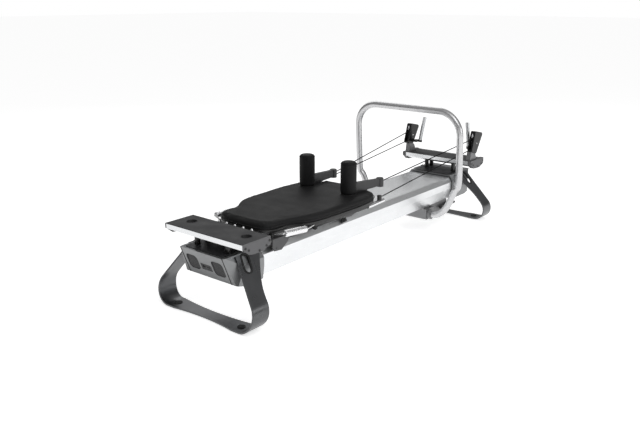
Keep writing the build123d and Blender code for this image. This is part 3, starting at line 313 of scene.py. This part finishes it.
def brushed(name, colour, rough, along):
    """Anodised or brushed aluminium: fine streaks along one axis."""
    g = Graph(name)
    normal, mask = g.edge_mask(radius=0.8 * MM)
    streaks = g.noise(scale=900.0, detail=3.0, stretch=along)
    paint(g, colour, g.noise(scale=6.0, detail=2.0), mask, variation=0.05, metal=1.0, wear=0.1)
    roughen(g, streaks, rough, low=0.8, high=1.25)
    g.feed("Normal", g.bump(streaks, strength=0.12, distance=0.05 * MM, normal=normal))
    return g.material


def powder(name, colour, rough, metal, wear=0.25):
    """Fine-textured powder coat."""
    g = Graph(name)
    normal, mask = g.edge_mask(radius=1.0 * MM)
    speckle = g.noise(scale=1600.0, detail=2.0)
    blotch = g.noise(scale=9.0, detail=3.0)
    paint(g, colour, blotch, mask, variation=0.06, metal=metal, wear=wear)
    roughen(g, blotch, rough)
    g.feed("Normal", g.bump(speckle, strength=0.22, distance=0.12 * MM, normal=normal))
    return g.material


def moulded(name, colour, rough, coat=0.0, shine=0.5):
    """Moulded plastic with a spark-eroded grain."""
    g = Graph(name)
    normal, mask = g.edge_mask(radius=0.9 * MM)
    blotch = g.noise(scale=14.0, detail=3.0)
    paint(g, colour, blotch, mask, variation=0.08, metal=0.0, wear=0.2)
    roughen(g, blotch, rough)
    grain = g.cells(scale=1300.0, feature="F1")
    g.feed("Normal", g.bump(grain, strength=0.16, distance=0.10 * MM, normal=normal))
    g.feed("Coat Weight", coat)
    g.feed("Specular IOR Level", shine)
    return g.material


def rubber(name, colour, rough=0.8):
    """Dull rubber with dust in its pores."""
    g = Graph(name)
    normal, mask = g.edge_mask(radius=0.7 * MM)
    blotch = g.noise(scale=30.0, detail=5.0)
    paint(g, colour, blotch, mask, variation=0.15, metal=0.0, wear=0.15)
    roughen(g, blotch, rough)
    pores = g.noise(scale=700.0, detail=5.0)
    g.feed("Normal", g.bump(pores, strength=0.35, distance=0.2 * MM, normal=normal))
    return g.material


def chrome(name, colour, rough):
    """Polished metal with faint hairlines and handling smears."""
    g = Graph(name)
    normal, mask = g.edge_mask(radius=0.5 * MM)
    smear = g.noise(scale=22.0, detail=5.0)
    hair = g.noise(scale=1400.0, detail=2.0, stretch=ALONG_HAIR)
    paint(g, colour, smear, mask, variation=0.03, metal=1.0, wear=0.0)
    roughen(g, smear, rough, low=0.7, high=1.7, start=0.35)
    g.feed("Normal", g.bump(hair, strength=0.04, distance=0.02 * MM, normal=normal))
    return g.material


def satin_tube(name, colour, rough):
    """Satin-polished metal for round tube: no bevel, a faint waviness and handling smears."""
    g = Graph(name)
    smear = g.noise(scale=22.0, detail=5.0)
    paint(g, colour, smear, 0.0, variation=0.04, metal=1.0, wear=0.0)
    roughen(g, smear, rough, low=0.85, high=1.3, start=0.35)
    wave = g.noise(scale=70.0, detail=2.0)
    g.feed("Normal", g.bump(wave, strength=0.03, distance=0.05 * MM))
    return g.material


def upholstery(name, colour, rough=0.55):
    """Coated upholstery: pebbled grain with painted shade darkening its hollows, soft sheen and slow
    creasing.
    """
    g = Graph(name)
    grain = g.cells(scale=620.0)
    fine = g.noise(scale=1900.0, detail=3.0)
    slack = g.noise(scale=7.0, detail=2.0)
    blotch = g.noise(scale=11.0, detail=4.0)
    base = g.mix(blotch, tone(colour, 0.86), tone(colour, 1.14))
    # painted shade: the grain's low cell edges, where the bump sinks, are mixed towards a darker tone
    grain_shade = g.remap(grain, 0.0, 0.12, 0.75, 1.0)
    g.feed("Base Color", g.mix(grain_shade, tone(colour, 0.55), base))
    roughen(g, g.math("ADD", blotch, fine), rough, high=1.2, start=0.6, end=1.4)
    height = g.math("ADD", g.remap(grain, 0.0, 0.25, 0.0, 1.0), g.math("MULTIPLY", fine, 0.25))
    wave = g.bump(slack, strength=0.12, distance=2.5 * MM)
    g.feed("Normal", g.bump(height, strength=0.30, distance=0.18 * MM, normal=wave))
    g.feed("Specular IOR Level", PAD_SHINE)
    return g.material


def grip_mat(name, colour, rough=0.72):
    """Non-slip platform covering: small raised pips on a dull sheet."""
    g = Graph(name)
    normal, mask = g.edge_mask(radius=0.6 * MM)
    blotch = g.noise(scale=12.0, detail=4.0)
    paint(g, colour, blotch, mask, variation=0.10, metal=0.0, wear=0.1)
    roughen(g, blotch, rough)
    pips = g.remap(g.cells(scale=260.0, feature="F1"), 0.15, 0.5, 1.0, 0.0)
    g.feed("Normal", g.bump(pips, strength=0.5, distance=0.35 * MM, normal=normal))
    return g.material


def braid(name, colour):
    """Braided cord: strands crossing both ways round the rope, with painted shade in the hollows between
    them.
    """
    g = Graph(name)
    uv = g.node("ShaderNodeTexCoord").outputs["UV"]
    parts = g.node("ShaderNodeSeparateXYZ")
    g.set(parts.inputs[0], uv)
    turn = g.math("MULTIPLY", parts.outputs[0], 2 * pi * BRAID_STRANDS)
    run = g.math("MULTIPLY", parts.outputs[1], 2 * pi)
    one = g.math("SINE", g.math("ADD", turn, run))
    two = g.math("SINE", g.math("SUBTRACT", turn, run))
    weave = g.remap(g.math("MULTIPLY", one, two), -1.0, 1.0, 0.0, 1.0)
    # painted shade: the colour goes darker where the weave's bump sinks between strands, lighter on their
    # tops
    g.feed("Base Color", g.mix(weave, tone(colour, 0.15), tone(colour, 0.45)))
    g.feed("Roughness", g.remap(g.noise(scale=800.0), 0.3, 0.7, 0.7, 0.9))
    g.feed("Normal", g.bump(weave, strength=0.6, distance=0.4 * MM))
    g.feed("Specular IOR Level", 0.1)
    return g.material


def mesh_screen(name, colour, pitch=4.2 * MM, row=0.9, hole=0.27, hole_edge=0.34):
    """Perforated screen: staggered round holes, painted near-black as painted shade of the housing's inside
    seen through them. The rows and the holes are shares of the pitch.
    """
    g = Graph(name)
    parts = g.node("ShaderNodeSeparateXYZ")
    g.set(parts.inputs[0], g.coords)
    across = g.math("DIVIDE", parts.outputs[0], pitch)
    up = g.math("DIVIDE", parts.outputs[2], pitch * row)
    shift = g.math("MULTIPLY", g.math("MODULO", g.math("FLOOR", up), 2.0), 0.5)
    dx = g.math("SUBTRACT", g.math("FRACT", g.math("ADD", across, shift)), 0.5)
    dy = g.math("SUBTRACT", g.math("FRACT", up), 0.5)
    away = g.math("SQRT", g.math("ADD", g.math("MULTIPLY", dx, dx), g.math("MULTIPLY", dy, dy)))
    solid = g.remap(away, hole, hole_edge, 0.0, 1.0)
    # the holes get painted shade, not a cut
    g.feed("Base Color", g.mix(solid, HOLE_SHADE_COLOUR, tone(colour, 0.9)))
    g.feed("Roughness", g.remap(solid, 0.0, 1.0, 0.95, 0.45))
    g.feed("Normal", g.bump(solid, strength=0.7, distance=0.5 * MM))
    return g.material


# ================================================================ mesh helpers
def add_piece(name, verts, faces, material, body=None, smooth=True):
    data = bpy.data.meshes.new(name)
    data.from_pydata([tuple(v) for v in verts], [], faces)
    data.validate()
    data.polygons.foreach_set("use_smooth", [smooth] * len(data.polygons))
    made = bpy.data.objects.new(name, data)
    bpy.context.scene.collection.objects.link(made)
    data.materials.append(material)
    if body:
        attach(made, body)
    return made


def turns(count):
    """Angles of count even steps round a circle."""
    return [2 * pi * k / count for k in range(count)]


def ring_about(centre, side, up, radius, count):
    """Circle of count points round centre, in the plane of side and up."""
    return [centre + (side * cos(a) + up * sin(a)) * radius for a in turns(count)]


def level_ring(centre, radius, z, count):
    """Level circle of count points round centre, an (x, y) pair."""
    return [(centre[0] + radius * cos(a), centre[1] + radius * sin(a), z) for a in turns(count)]


def straight(a, b, steps):
    """Even points from a to b."""
    return [tuple(a.lerp(b, i / steps)) for i in range(steps + 1)]


def sweep_tube(points, radius, sides, closed=False):
    """Vertices and faces of a round tube along points, with a frame carried along the path."""
    path = [Vector(p) for p in points]
    count = len(path)
    verts = []
    side = None
    for i, p in enumerate(path):
        ahead = path[(i + 1) % count] if closed or i < count - 1 else p
        behind = path[i - 1] if closed or i > 0 else p
        along = (ahead - behind).normalized()
        if side is None:
            side = along.orthogonal().normalized()
        side = (side - along * side.dot(along)).normalized()
        verts += ring_about(p, side, along.cross(side), radius, sides)
    faces = []
    for i in range(count if closed else count - 1):
        a, b = i * sides, ((i + 1) % count) * sides
        for k in range(sides):
            n = (k + 1) % sides
            faces.append((a + k, a + n, b + n, b + k))
    if not closed:
        faces.append(tuple(reversed(range(sides))))
        faces.append(tuple(range((count - 1) * sides, count * sides)))
    return verts, faces


def lay_uvs(tube, points, sides, lay):
    """UVs of a swept tube: once across for each turn round it, and once up for every lay metres along it."""
    steps = [0.0]
    for a, b in zip(points, points[1:]):
        steps.append(steps[-1] + (Vector(b) - Vector(a)).length)
    layer = tube.data.uv_layers.new(name="UVMap")
    for face in tube.data.polygons:
        wrap = len(face.vertices) == 4 and any(v % sides == sides - 1 for v in face.vertices)
        for loop in face.loop_indices:
            v = tube.data.loops[loop].vertex_index
            turn = v % sides
            if wrap and turn == 0:
                turn = sides
            layer.data[loop].uv = (turn / sides, steps[v // sides] / lay)


def tube_piece(name, points, radius, material, body, sides=WELT_SIDES, closed=False):
    verts, faces = sweep_tube(points, radius, sides, closed)
    return add_piece(name, verts, faces, material, body)


def rope_piece(name, points, material, body=None):
    rope = tube_piece(name, points, ROPE_R, material, body, ROPE_SIDES)
    lay_uvs(rope, points, ROPE_SIDES, ROPE_LAY)
    return rope


def loft(rings, cap_low=True):
    """Vertices and faces through closed rings of equal length, capped at the last ring."""
    n = len(rings[0])
    verts = [v for ring in rings for v in ring]
    faces = []
    for r in range(len(rings) - 1):
        for k in range(n):
            m = (k + 1) % n
            faces.append((r * n + k, r * n + m, (r + 1) * n + m, (r + 1) * n + k))
    if cap_low:
        faces.append(tuple(reversed(range(n))))
    faces.append(tuple(range((len(rings) - 1) * n, len(rings) * n)))
    return verts, faces


def node_points(node):
    return np.array([v.co for v in NODES[node].data.vertices], float).reshape(-1, 3)


def side_points(node, side):
    """A CAD node's points on the left, for side -1, or on the right, for side 1."""
    co = node_points(node)
    return co[co[:, 0] * side > 0]


def plan_ring(node, count, top_band=0.1 * MM, apart=0.2 * MM):
    """The plan outline of a flat CAD pad as evenly spaced (x, y) points, anticlockwise."""
    co = node_points(node)
    top = co[co[:, 2] > co[:, 2].max() - top_band]
    middle = (top.min(0) + top.max(0)) / 2
    angle = np.arctan2(top[:, 1] - middle[1], top[:, 0] - middle[0])
    ring = top[np.argsort(angle)][:, :2]
    keep = [0]
    for i in range(1, len(ring)):
        if np.hypot(*(ring[i] - ring[keep[-1]])) > apart:
            keep.append(i)
    ring = ring[keep]
    loop = np.vstack([ring, ring[:1]])
    run = np.concatenate([[0], np.cumsum(np.hypot(*np.diff(loop, axis=0).T))])
    at = np.linspace(0, run[-1], count, endpoint=False)
    return np.stack([np.interp(at, run, loop[:, 0]), np.interp(at, run, loop[:, 1])], 1)


def inset(ring, distance):
    """Ring moved inwards along its own smoothed normals."""
    along = np.roll(ring, -2, 0) - np.roll(ring, 2, 0)
    along /= np.hypot(along[:, 0], along[:, 1])[:, None]
    inward = np.stack([-along[:, 1], along[:, 0]], 1)
    return ring + inward * distance


def swell(piece, cap, floor_z):
    """Cloth simulation under pressure: no point moves by more than cap or goes below floor_z."""
    start = np.array([v.co for v in piece.data.vertices], float).reshape(-1, 3)
    seat = piece.vertex_groups.new(name="seat")
    seat.add([i for i, p in enumerate(start) if p[2] < floor_z + SEAT_BAND], 1.0, "REPLACE")
    cloth = piece.modifiers.new("Cloth", "CLOTH")
    cloth.settings.use_pressure = True
    cloth.settings.uniform_pressure_force = SIM_PRESSURE
    cloth.settings.quality = SIM_QUALITY
    cloth.settings.effector_weights.gravity = 0.0
    cloth.settings.vertex_group_mass = "seat"
    cloth.point_cache.frame_start = 1
    cloth.point_cache.frame_end = SIM_FRAMES
    for step in range(1, SIM_FRAMES + 1):
        bpy.context.scene.frame_set(step)
    view = bpy.context.evaluated_depsgraph_get()
    swollen = piece.evaluated_get(view)
    ended = np.array([v.co for v in swollen.data.vertices], float).reshape(-1, 3)
    move = ended - start
    length = np.maximum(np.linalg.norm(move, axis=1), 1e-9)
    move *= np.minimum(1.0, cap / length)[:, None]
    piece.modifiers.remove(cloth)
    piece.vertex_groups.remove(seat)
    result = start + move
    result[:, 2] = np.maximum(result[:, 2], floor_z)
    piece.data.vertices.foreach_set("co", result.astype(np.float32).ravel())
    bpy.context.scene.frame_set(1)


def inflate(piece, voxel, cap, floor_z):
    """Stuffs a closed form: evenly remeshed, swollen as cloth, smoothed and subdivided once."""
    bpy.context.view_layer.objects.active = piece
    piece.select_set(True)
    remesh = piece.modifiers.new("Remesh", "REMESH")
    remesh.mode = "VOXEL"
    remesh.voxel_size = voxel
    bpy.ops.object.modifier_apply(modifier=remesh.name)
    swell(piece, cap, floor_z)
    smooth = piece.modifiers.new("Smooth", "SMOOTH")
    smooth.factor = SMOOTH_FACTOR
    smooth.iterations = SMOOTH_TIMES
    bpy.ops.object.modifier_apply(modifier=smooth.name)
    fine = piece.modifiers.new("Subdivision", "SUBSURF")
    fine.levels = 1
    fine.render_levels = 1
    bpy.ops.object.modifier_apply(modifier=fine.name)
    piece.data.polygons.foreach_set("use_smooth", [True] * len(piece.data.polygons))
    piece.select_set(False)


# ================================================================ CAD finishes
def dress(node, material):
    data = NODES[node].data
    data.materials.clear()
    data.materials.append(material)


def dress_all(maker, nodes, gain=1.0, **values):
    for node in nodes:
        dress(node, maker("m_" + node, tone(COLOURS[node], gain), **values))


dress_all(brushed, ["rail"], rough=0.34, along=ALONG_Y)
dress_all(brushed, ["front_deck", "rear_deck"], rough=0.28, along=ALONG_X)
dress_all(brushed, ["rope_posts"], rough=0.3, along=ALONG_Z)
dress_all(powder, ["front_leg", "rear_leg"], gain=LEG_GAIN, rough=0.30, metal=0.9, wear=0.1)
dress_all(powder, ["front_housing", "rear_housing"], gain=HOUSING_GAIN, rough=0.34, metal=0.75)
dress_all(powder, ["footbar_bracket", "sector_plates", "pulley_stems"], rough=0.42, metal=0.5)
dress_all(powder, ["truck_brackets", "carriage_frame", "carriage_board", "spring_bar"], rough=0.45, metal=0.2)
dress_all(powder, ["deck_posts"], rough=0.15, metal=0.2)
dress_all(rubber, ["gaskets", "slot_rings", "floor_pads", "sector_rims", "bump_stops"])
dress_all(rubber, [n for n in NODES if n.startswith(("wheel_", "roller_"))], rough=0.6)
dress_all(grip_mat, ["deck_mats"])
dress_all(moulded, ["housing_lids", "socket_panels", "carriage_skirts"], rough=0.5)
dress_all(moulded, ["end_caps"], gain=CAP_GAIN, rough=0.45, shine=0.25)
dress_all(moulded, ["rest_bases", "rest_arms", "rest_knobs", "rope_anchors", "post_clips"], rough=0.38)
dress_all(moulded, ["release_lever", "left_pulley", "right_pulley"], rough=0.4)
dress_all(moulded, ["pulley_hoods"], gain=HOOD_GAIN, rough=0.2, coat=0.1, shine=0.18)
dress_all(satin_tube, ["footbar_loop"], gain=BAR_GAIN, rough=0.3)
dress_all(chrome, ["spring_hooks", "grip_rods", "corner_tubes", "pulley_pins", "truck_axles"], rough=0.14)
dress_all(chrome, ["leg_screws", "sector_bolts", "bracket_screws"], rough=0.35)
dress_all(powder, ["cap_screws"], gain=SCREW_GAIN, rough=0.4, metal=0.3)


# ================================================================ carriage pad
def make_cushion():
    """Moulded pad: pulled in at its base, a shallow seam, a round shoulder and a low crown."""
    node = "carriage_cushion"
    low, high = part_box(node)
    ring = plan_ring(node, CUSHION_RING)
    middle = np.array([(low.x + high.x) / 2, (low.y + high.y) / 2])
    height = high.z - low.z
    rings = []
    for step, share in PAD_SIDE:
        rings.append([(x, y, low.z + height * share) for x, y in inset(ring, step)])
    shoulder = inset(ring, PAD_SHOULDER)
    for scale, share in PAD_CROWN:
        flat = middle + (shoulder - middle) * scale
        rings.append([(x, y, low.z + (height - PAD_HEADROOM) * share) for x, y in flat])
    verts, faces = loft(rings)
    cover = upholstery("m_pad", tone(COLOURS[node], PAD_GAIN))
    pad = add_piece("carriage_pad", verts, faces, cover)
    inflate(pad, CUSHION_VOXEL, CUSHION_INFLATE_CAP, low.z)
    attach(pad, "carriage")
    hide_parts(node)
    welt = [(x, y, low.z + height * PAD_SEAM_RISE) for x, y in inset(ring, PAD_SEAM_IN)]
    piping = upholstery("m_welt", WELT_COLOUR)
    tube_piece("carriage_pad_welt", welt, PAD_WELT_R, piping, "carriage", closed=True)


def make_rest(node, name):
    """Upright padded roll: drawn in at its base and rounded over at the top, with a stitched cap seam."""
    low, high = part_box(node)
    centre = ((low.x + high.x) / 2, (low.y + high.y) / 2)
    radius = (high.x - low.x) / 2
    height = high.z - low.z
    rings = []
    for share, rise in ROLL_PROFILE:
        rings.append(level_ring(centre, radius * share, low.z + height * rise, ROLL_SIDES))
    verts, faces = loft(rings)
    cover = upholstery("m_" + name, tone(COLOURS[node], ROLL_GAIN))
    roll = add_piece(name, verts, faces, cover)
    inflate(roll, REST_VOXEL, REST_INFLATE_CAP, low.z)
    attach(roll, "carriage")
    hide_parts(node)
    share, rise = ROLL_SEAM
    seam = level_ring(centre, radius * share, low.z + height * rise, ROLL_WELT_STEPS)
    tube_piece(name + "_welt", seam, ROLL_WELT_R, cover, "carriage", closed=True)


# ================================================================ springs and ropes
def make_springs():
    """Wound coils filling the CAD springs' box; they are baked in place, not attached to a body."""
    steel = chrome("m_coil", COLOURS["springs"], rough=0.25)
    low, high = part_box("springs")
    radius = (high.z - low.z) / 2
    reach = radius - COIL_WIRE
    z = (low.z + high.z) / 2
    spread = (high.x - low.x - 2 * radius) / (SPRING_COUNT - 1)
    count = int((high.y - low.y) / COIL_PITCH * COIL_STEPS)
    for index in range(SPRING_COUNT):
        x = low.x + radius + spread * index
        path = []
        for i in range(count + 1):
            a = 2 * pi * i / COIL_STEPS
            y = low.y + (high.y - low.y) * i / count
            path.append((x + reach * cos(a), y, z + reach * sin(a)))
        coil = tube_piece("coil_%d" % index, path, COIL_WIRE, steel, None, COIL_SIDES)
        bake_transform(coil)
        if index == 0:
            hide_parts("springs")


def rope_end(side, upper):
    """The carriage end of one CAD rope strand."""
    co = side_points("ropes", side)
    near = co[co[:, 1] < co[:, 1].min() + ROPE_END_ZONE]
    split = (near[:, 2].min() + near[:, 2].max()) / 2
    strand = near[near[:, 2] > split] if upper else near[near[:, 2] < split]
    return Vector(strand[strand[:, 1] < strand[:, 1].min() + ROPE_END_SLICE].mean(0))


def make_ropes():
    """Braided ropes from the carriage to the pulleys, with a fixed half turn round each pulley."""
    cord = braid("m_rope", COLOURS["ropes"])
    for side, tag in SIDES:
        low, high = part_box(tag + "_pulley")
        hub = (low + high) / 2
        groove = (high.z - low.z) / 2 - PULLEY_GROOVE + ROPE_R
        for level, sign in (("upper", 1), ("lower", -1)):
            a = rope_end(side, sign > 0)
            b = Vector((hub.x, hub.y, hub.z + sign * groove))
            rope = rope_piece("rope_%s_%s" % (tag, level), straight(a, b, ROPE_STEPS), cord)
            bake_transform(rope)
            if (tag, level) == ("left", "upper"):
                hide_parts("ropes")
        half_turn = [pi * i / ROPE_TURN_STEPS for i in range(ROPE_TURN_STEPS + 1)]
        arc = [(hub.x, hub.y + groove * sin(t), hub.z + groove * cos(t)) for t in half_turn]
        rope_piece("rope_%s_turn" % tag, arc, cord, "base")


# ================================================================ small details
def make_sleeves():
    """Ribbed grip sleeves on the carriage's corner rods."""
    metal = satin_tube("m_sleeves", COLOURS["grip_sleeves"], rough=0.25)
    for side, tag in SIDES:
        co = side_points("grip_sleeves", side)
        near = co[co[:, 1] < co[:, 1].min() + SLEEVE_END_SLICE].mean(0)
        far = co[co[:, 1] > co[:, 1].max() - SLEEVE_END_SLICE].mean(0)
        axis = Vector(far - near)
        length = axis.length
        along = axis.normalized()
        out = along.orthogonal().normalized()
        up = along.cross(out)
        rings = []
        for i in range(SLEEVE_STEPS + 1):
            t = i / SLEEVE_STEPS
            to_end = min(t, 1 - t) * length
            rib = 0.5 - 0.5 * cos(2 * pi * t * SLEEVE_RIBS)
            r = min(SLEEVE_R - SLEEVE_RIB * rib, SLEEVE_MOUTH_R + to_end)
            p = Vector(near) + along * (length * t)
            rings.append(ring_about(p, out, up, r, SLEEVE_SIDES))
        verts, faces = loft(rings)
        sleeve = add_piece("sleeve_" + tag, verts, faces, metal, "carriage")
        if tag == "left":
            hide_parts("grip_sleeves")


def face_frame(end):
    """Origin, across, up and outward directions of an end housing's raked face, from its CAD inserts."""
    co = node_points("grilles")
    face = co[co[:, 1] * end > 0]
    middle = (face.min(0) + face.max(0)) / 2
    low_z, high_z = face[:, 2].min(), face[:, 2].max()
    low_y = np.abs(face[face[:, 2] < low_z + FACE_BAND][:, 1]).max()
    high_y = np.abs(face[face[:, 2] > high_z - FACE_BAND][:, 1]).max()
    up = Vector((0, end * (high_y - low_y), high_z - low_z)).normalized()
    across = Vector((1, 0, 0))
    out = across.cross(up) * (1 if across.cross(up).y * end > 0 else -1)
    return Vector(middle), across, up, out


def rounded_rect(width, height, radius, steps=8):
    """Outline of a rectangle with round corners, about (0, 0)."""
    points = []
    for cx, cy, first in ((1, 1, 0), (-1, 1, 1), (-1, -1, 2), (1, -1, 3)):
        for k in range(steps + 1):
            a = (first + k / steps) * pi / 2
            x = cx * (width / 2 - radius) + radius * cos(a)
            y = cy * (height / 2 - radius) + radius * sin(a)
            points.append((x, y))
    return points


def on_face(shape, centre, across, up, scale, lift):
    """A flat outline, scaled and set on a face."""
    return [centre + across * (u * scale) + up * (v * scale) + lift for u, v in shape]


def make_grilles():
    """Perforated screens, slightly domed, each with a raised rim."""
    screen = mesh_screen("m_screen", COLOURS["grilles"])
    rim = moulded("m_screen_rim", COLOURS["grilles"], rough=0.4)
    shape = rounded_rect(SCREEN_WIDTH, SCREEN_HEIGHT, SCREEN_CORNER)
    for end, place in ENDS:
        origin, across, up, out = face_frame(end)
        for side, tag in SIDES:
            centre = origin + across * (side * SCREEN_X)
            rings = [on_face(shape, centre, across, up, scale, out * rise) for scale, rise in SCREEN_DOME]
            verts, faces = loft(rings)
            plate = add_piece("screen_%s_%s" % (place, tag), verts, faces, screen, "base")
            if (place, tag) == ("front", "left"):
                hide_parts("grilles")
            loop = on_face(shape, centre, across, up, RIM_SCALE, out * RIM_RISE)
            tube_piece("screen_rim_%s_%s" % (place, tag), loop, RIM_R, rim, "base", closed=True)


def front_edge(node, side, z):
    """The y of a node's leaning front edge at this height, on the line from its foot to its head."""
    co = side_points(node, side)
    low = co[co[:, 2] < co[:, 2].min() + HOOD_FOOT_ZONE]
    high = co[co[:, 2] > co[:, 2].max() - HOOD_HEAD_ZONE]
    p = low[low[:, 1].argmin()]
    q = high[high[:, 1].argmin()]
    return p[1] + (q[1] - p[1]) * (z - p[2]) / (q[2] - p[2])


def make_hood_highlight_strips():
    """Bright chrome strip down the upper front of each pulley hood: a painted highlight, standing in for the
    light caught along the hood's front edge.
    """
    metal = chrome("m_highlight_strip", HIGHLIGHT_STRIP_COLOUR, rough=0.2)
    wheel_low, wheel_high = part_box("right_pulley")
    hub_x = (wheel_low.x + wheel_high.x) / 2
    top_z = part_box("pulley_hoods")[1].z - STRIP_BELOW_TOP
    low_z = wheel_high.z + STRIP_ABOVE_WHEEL
    for side, tag in SIDES:
        x = side * hub_x
        rings = []
        for i in range(STRIP_STEPS + 1):
            z = top_z + (low_z - top_z) * i / STRIP_STEPS
            y = front_edge("pulley_hoods", side, z)
            half = STRIP_HALF * (0.6 + 0.4 * sin(pi * i / STRIP_STEPS))
            narrow = half * STRIP_TAPER
            back, front = y + STRIP_SINK, y - STRIP_LIFT
            corners = ((-half, back), (half, back), (narrow, front), (-narrow, front))
            rings.append([(x + dx, at_y, z) for dx, at_y in corners])
        verts, faces = loft(rings)
        add_piece("hood_highlight_strip_" + tag, verts, faces, metal, "base", smooth=False)


def make_peg_cups():
    """Dark moulded liners in the front platform's two sockets."""
    lining = moulded("m_peg_cup", CUP_COLOUR, rough=0.6)
    low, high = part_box("front_deck")
    lip_z = high.z + CUP_ABOVE_DECK
    floor_z = high.z - PEG_DEPTH
    section = [(r, lip_z + rise) for r, rise in CUP_LIP] + [(r, floor_z + rise) for r, rise in CUP_WELL]
    for side, tag in SIDES:
        centre = (side * PEG_X, low.y + PEG_DY)
        rings = [level_ring(centre, r, z, CUP_SIDES) for r, z in section]
        verts, faces = loft(rings, cap_low=False)
        add_piece("peg_cup_" + tag, verts, faces, lining, "base")


def make_face_trim():
    """Black sealing strips down both side edges of each end casting's raked face."""
    seal = rubber("m_face_trim", TRIM_COLOUR, rough=0.7)
    for end, place in ENDS:
        housing = place + "_housing"
        co = node_points(housing)
        out_y = np.abs(co[:, 1])
        tip = out_y.max()
        top = co[out_y > tip - FACE_BAND]
        lower = co[(co[:, 2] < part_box(housing)[0].z + TRIM_FOOT_ZONE) & (out_y > RAKED_FROM_Y)]
        low_y = np.abs(lower[:, 1]).max()
        low_z = lower[np.abs(lower[:, 1]) > low_y - FACE_BAND][:, 2].max()
        for side, tag in SIDES:
            x = side * top[:, 0].max()
            a = Vector((x, end * tip, top[:, 2].max()))
            b = Vector((x, end * low_y, low_z))
            path = straight(a, b, TRIM_STEPS)
            tube_piece("face_trim_%s_%s" % (place, tag), path, TRIM_R, seal, "base")


make_cushion()
make_rest("left_rest", "left_roll")
make_rest("right_rest", "right_roll")
make_springs()
make_ropes()
make_sleeves()
make_grilles()
make_hood_highlight_strips()
make_peg_cups()
make_face_trim()


# ================================================================ studio
def make_floor():
    size = FLOOR_HALF
    g = Graph("m_floor")
    g.feed("Base Color", grey(FLOOR_SHADE))
    g.feed("Roughness", g.remap(g.noise(scale=2.0), 0.3, 0.7, 0.8, 0.9))
    g.feed("Specular IOR Level", 0.0)
    g.feed("Emission Color", grey(1))
    g.feed("Emission Strength", FLOOR_GLOW)
    corners = [(-size, -size, 0), (size, -size, 0), (size, size, 0), (-size, size, 0)]
    data = bpy.data.meshes.new("floor")
    data.from_pydata(corners, [], [(0, 1, 2, 3)])
    floor = bpy.data.objects.new("floor", data)
    bpy.context.scene.collection.objects.link(floor)
    data.materials.append(g.material)


def area_light(name, place, target, size, power):
    data = bpy.data.lights.new(name, "AREA")
    data.shape = "RECTANGLE"
    data.size, data.size_y = size
    data.energy = power
    lamp = bpy.data.objects.new(name, data)
    bpy.context.scene.collection.objects.link(lamp)
    lamp.location = place
    lamp.rotation_mode = "QUATERNION"
    lamp.rotation_quaternion = (Vector(target) - Vector(place)).to_track_quat("-Z", "Y")


def make_world():
    """Pale room with a darker band just above the horizon, so that metal has something to reflect."""
    world = bpy.data.worlds.new("studio")
    bpy.context.scene.world = world
    world.use_nodes = True
    tree = world.node_tree
    back = tree.nodes["Background"]
    coords = tree.nodes.new("ShaderNodeTexCoord")
    parts = tree.nodes.new("ShaderNodeSeparateXYZ")
    ramp = tree.nodes.new("ShaderNodeValToRGB")
    tree.links.new(coords.outputs["Generated"], parts.inputs[0])
    tree.links.new(parts.outputs[2], ramp.inputs[0])
    tree.links.new(ramp.outputs[0], back.inputs[0])
    band = ramp.color_ramp.elements
    for stop, (at, value) in zip(band, (ROOM_STOPS[0], ROOM_STOPS[-1])):
        stop.position = at
        stop.color = grey(value)
    for at, value in ROOM_STOPS[1:-1]:
        band.new(at).color = grey(value)
    back.inputs[1].default_value = ROOM_LIGHT
    plain = tree.nodes.new("ShaderNodeBackground")
    plain.inputs[0].default_value = grey(1)
    path = tree.nodes.new("ShaderNodeLightPath")
    choose = tree.nodes.new("ShaderNodeMixShader")
    tree.links.new(path.outputs["Is Camera Ray"], choose.inputs[0])
    tree.links.new(back.outputs[0], choose.inputs[1])
    tree.links.new(plain.outputs[0], choose.inputs[2])
    tree.links.new(choose.outputs[0], tree.nodes["World Output"].inputs["Surface"])


def make_camera():
    data = bpy.data.cameras.new("camera")
    data.sensor_width = SENSOR
    data.lens = SENSOR / 2 / tan(radians(CAMERA_FOV) / 2)
    camera = bpy.data.objects.new("camera", data)
    bpy.context.scene.collection.objects.link(camera)
    camera.location = CAMERA_AT
    camera.rotation_mode = "QUATERNION"
    camera.rotation_quaternion = Vector(CAMERA_LOOK).to_track_quat("-Z", "Y")
    bpy.context.scene.camera = camera


make_floor()
make_world()
for lamp in LAMPS:
    area_light(*lamp)
make_camera()
bpy.context.scene.view_settings.view_transform = "Standard"
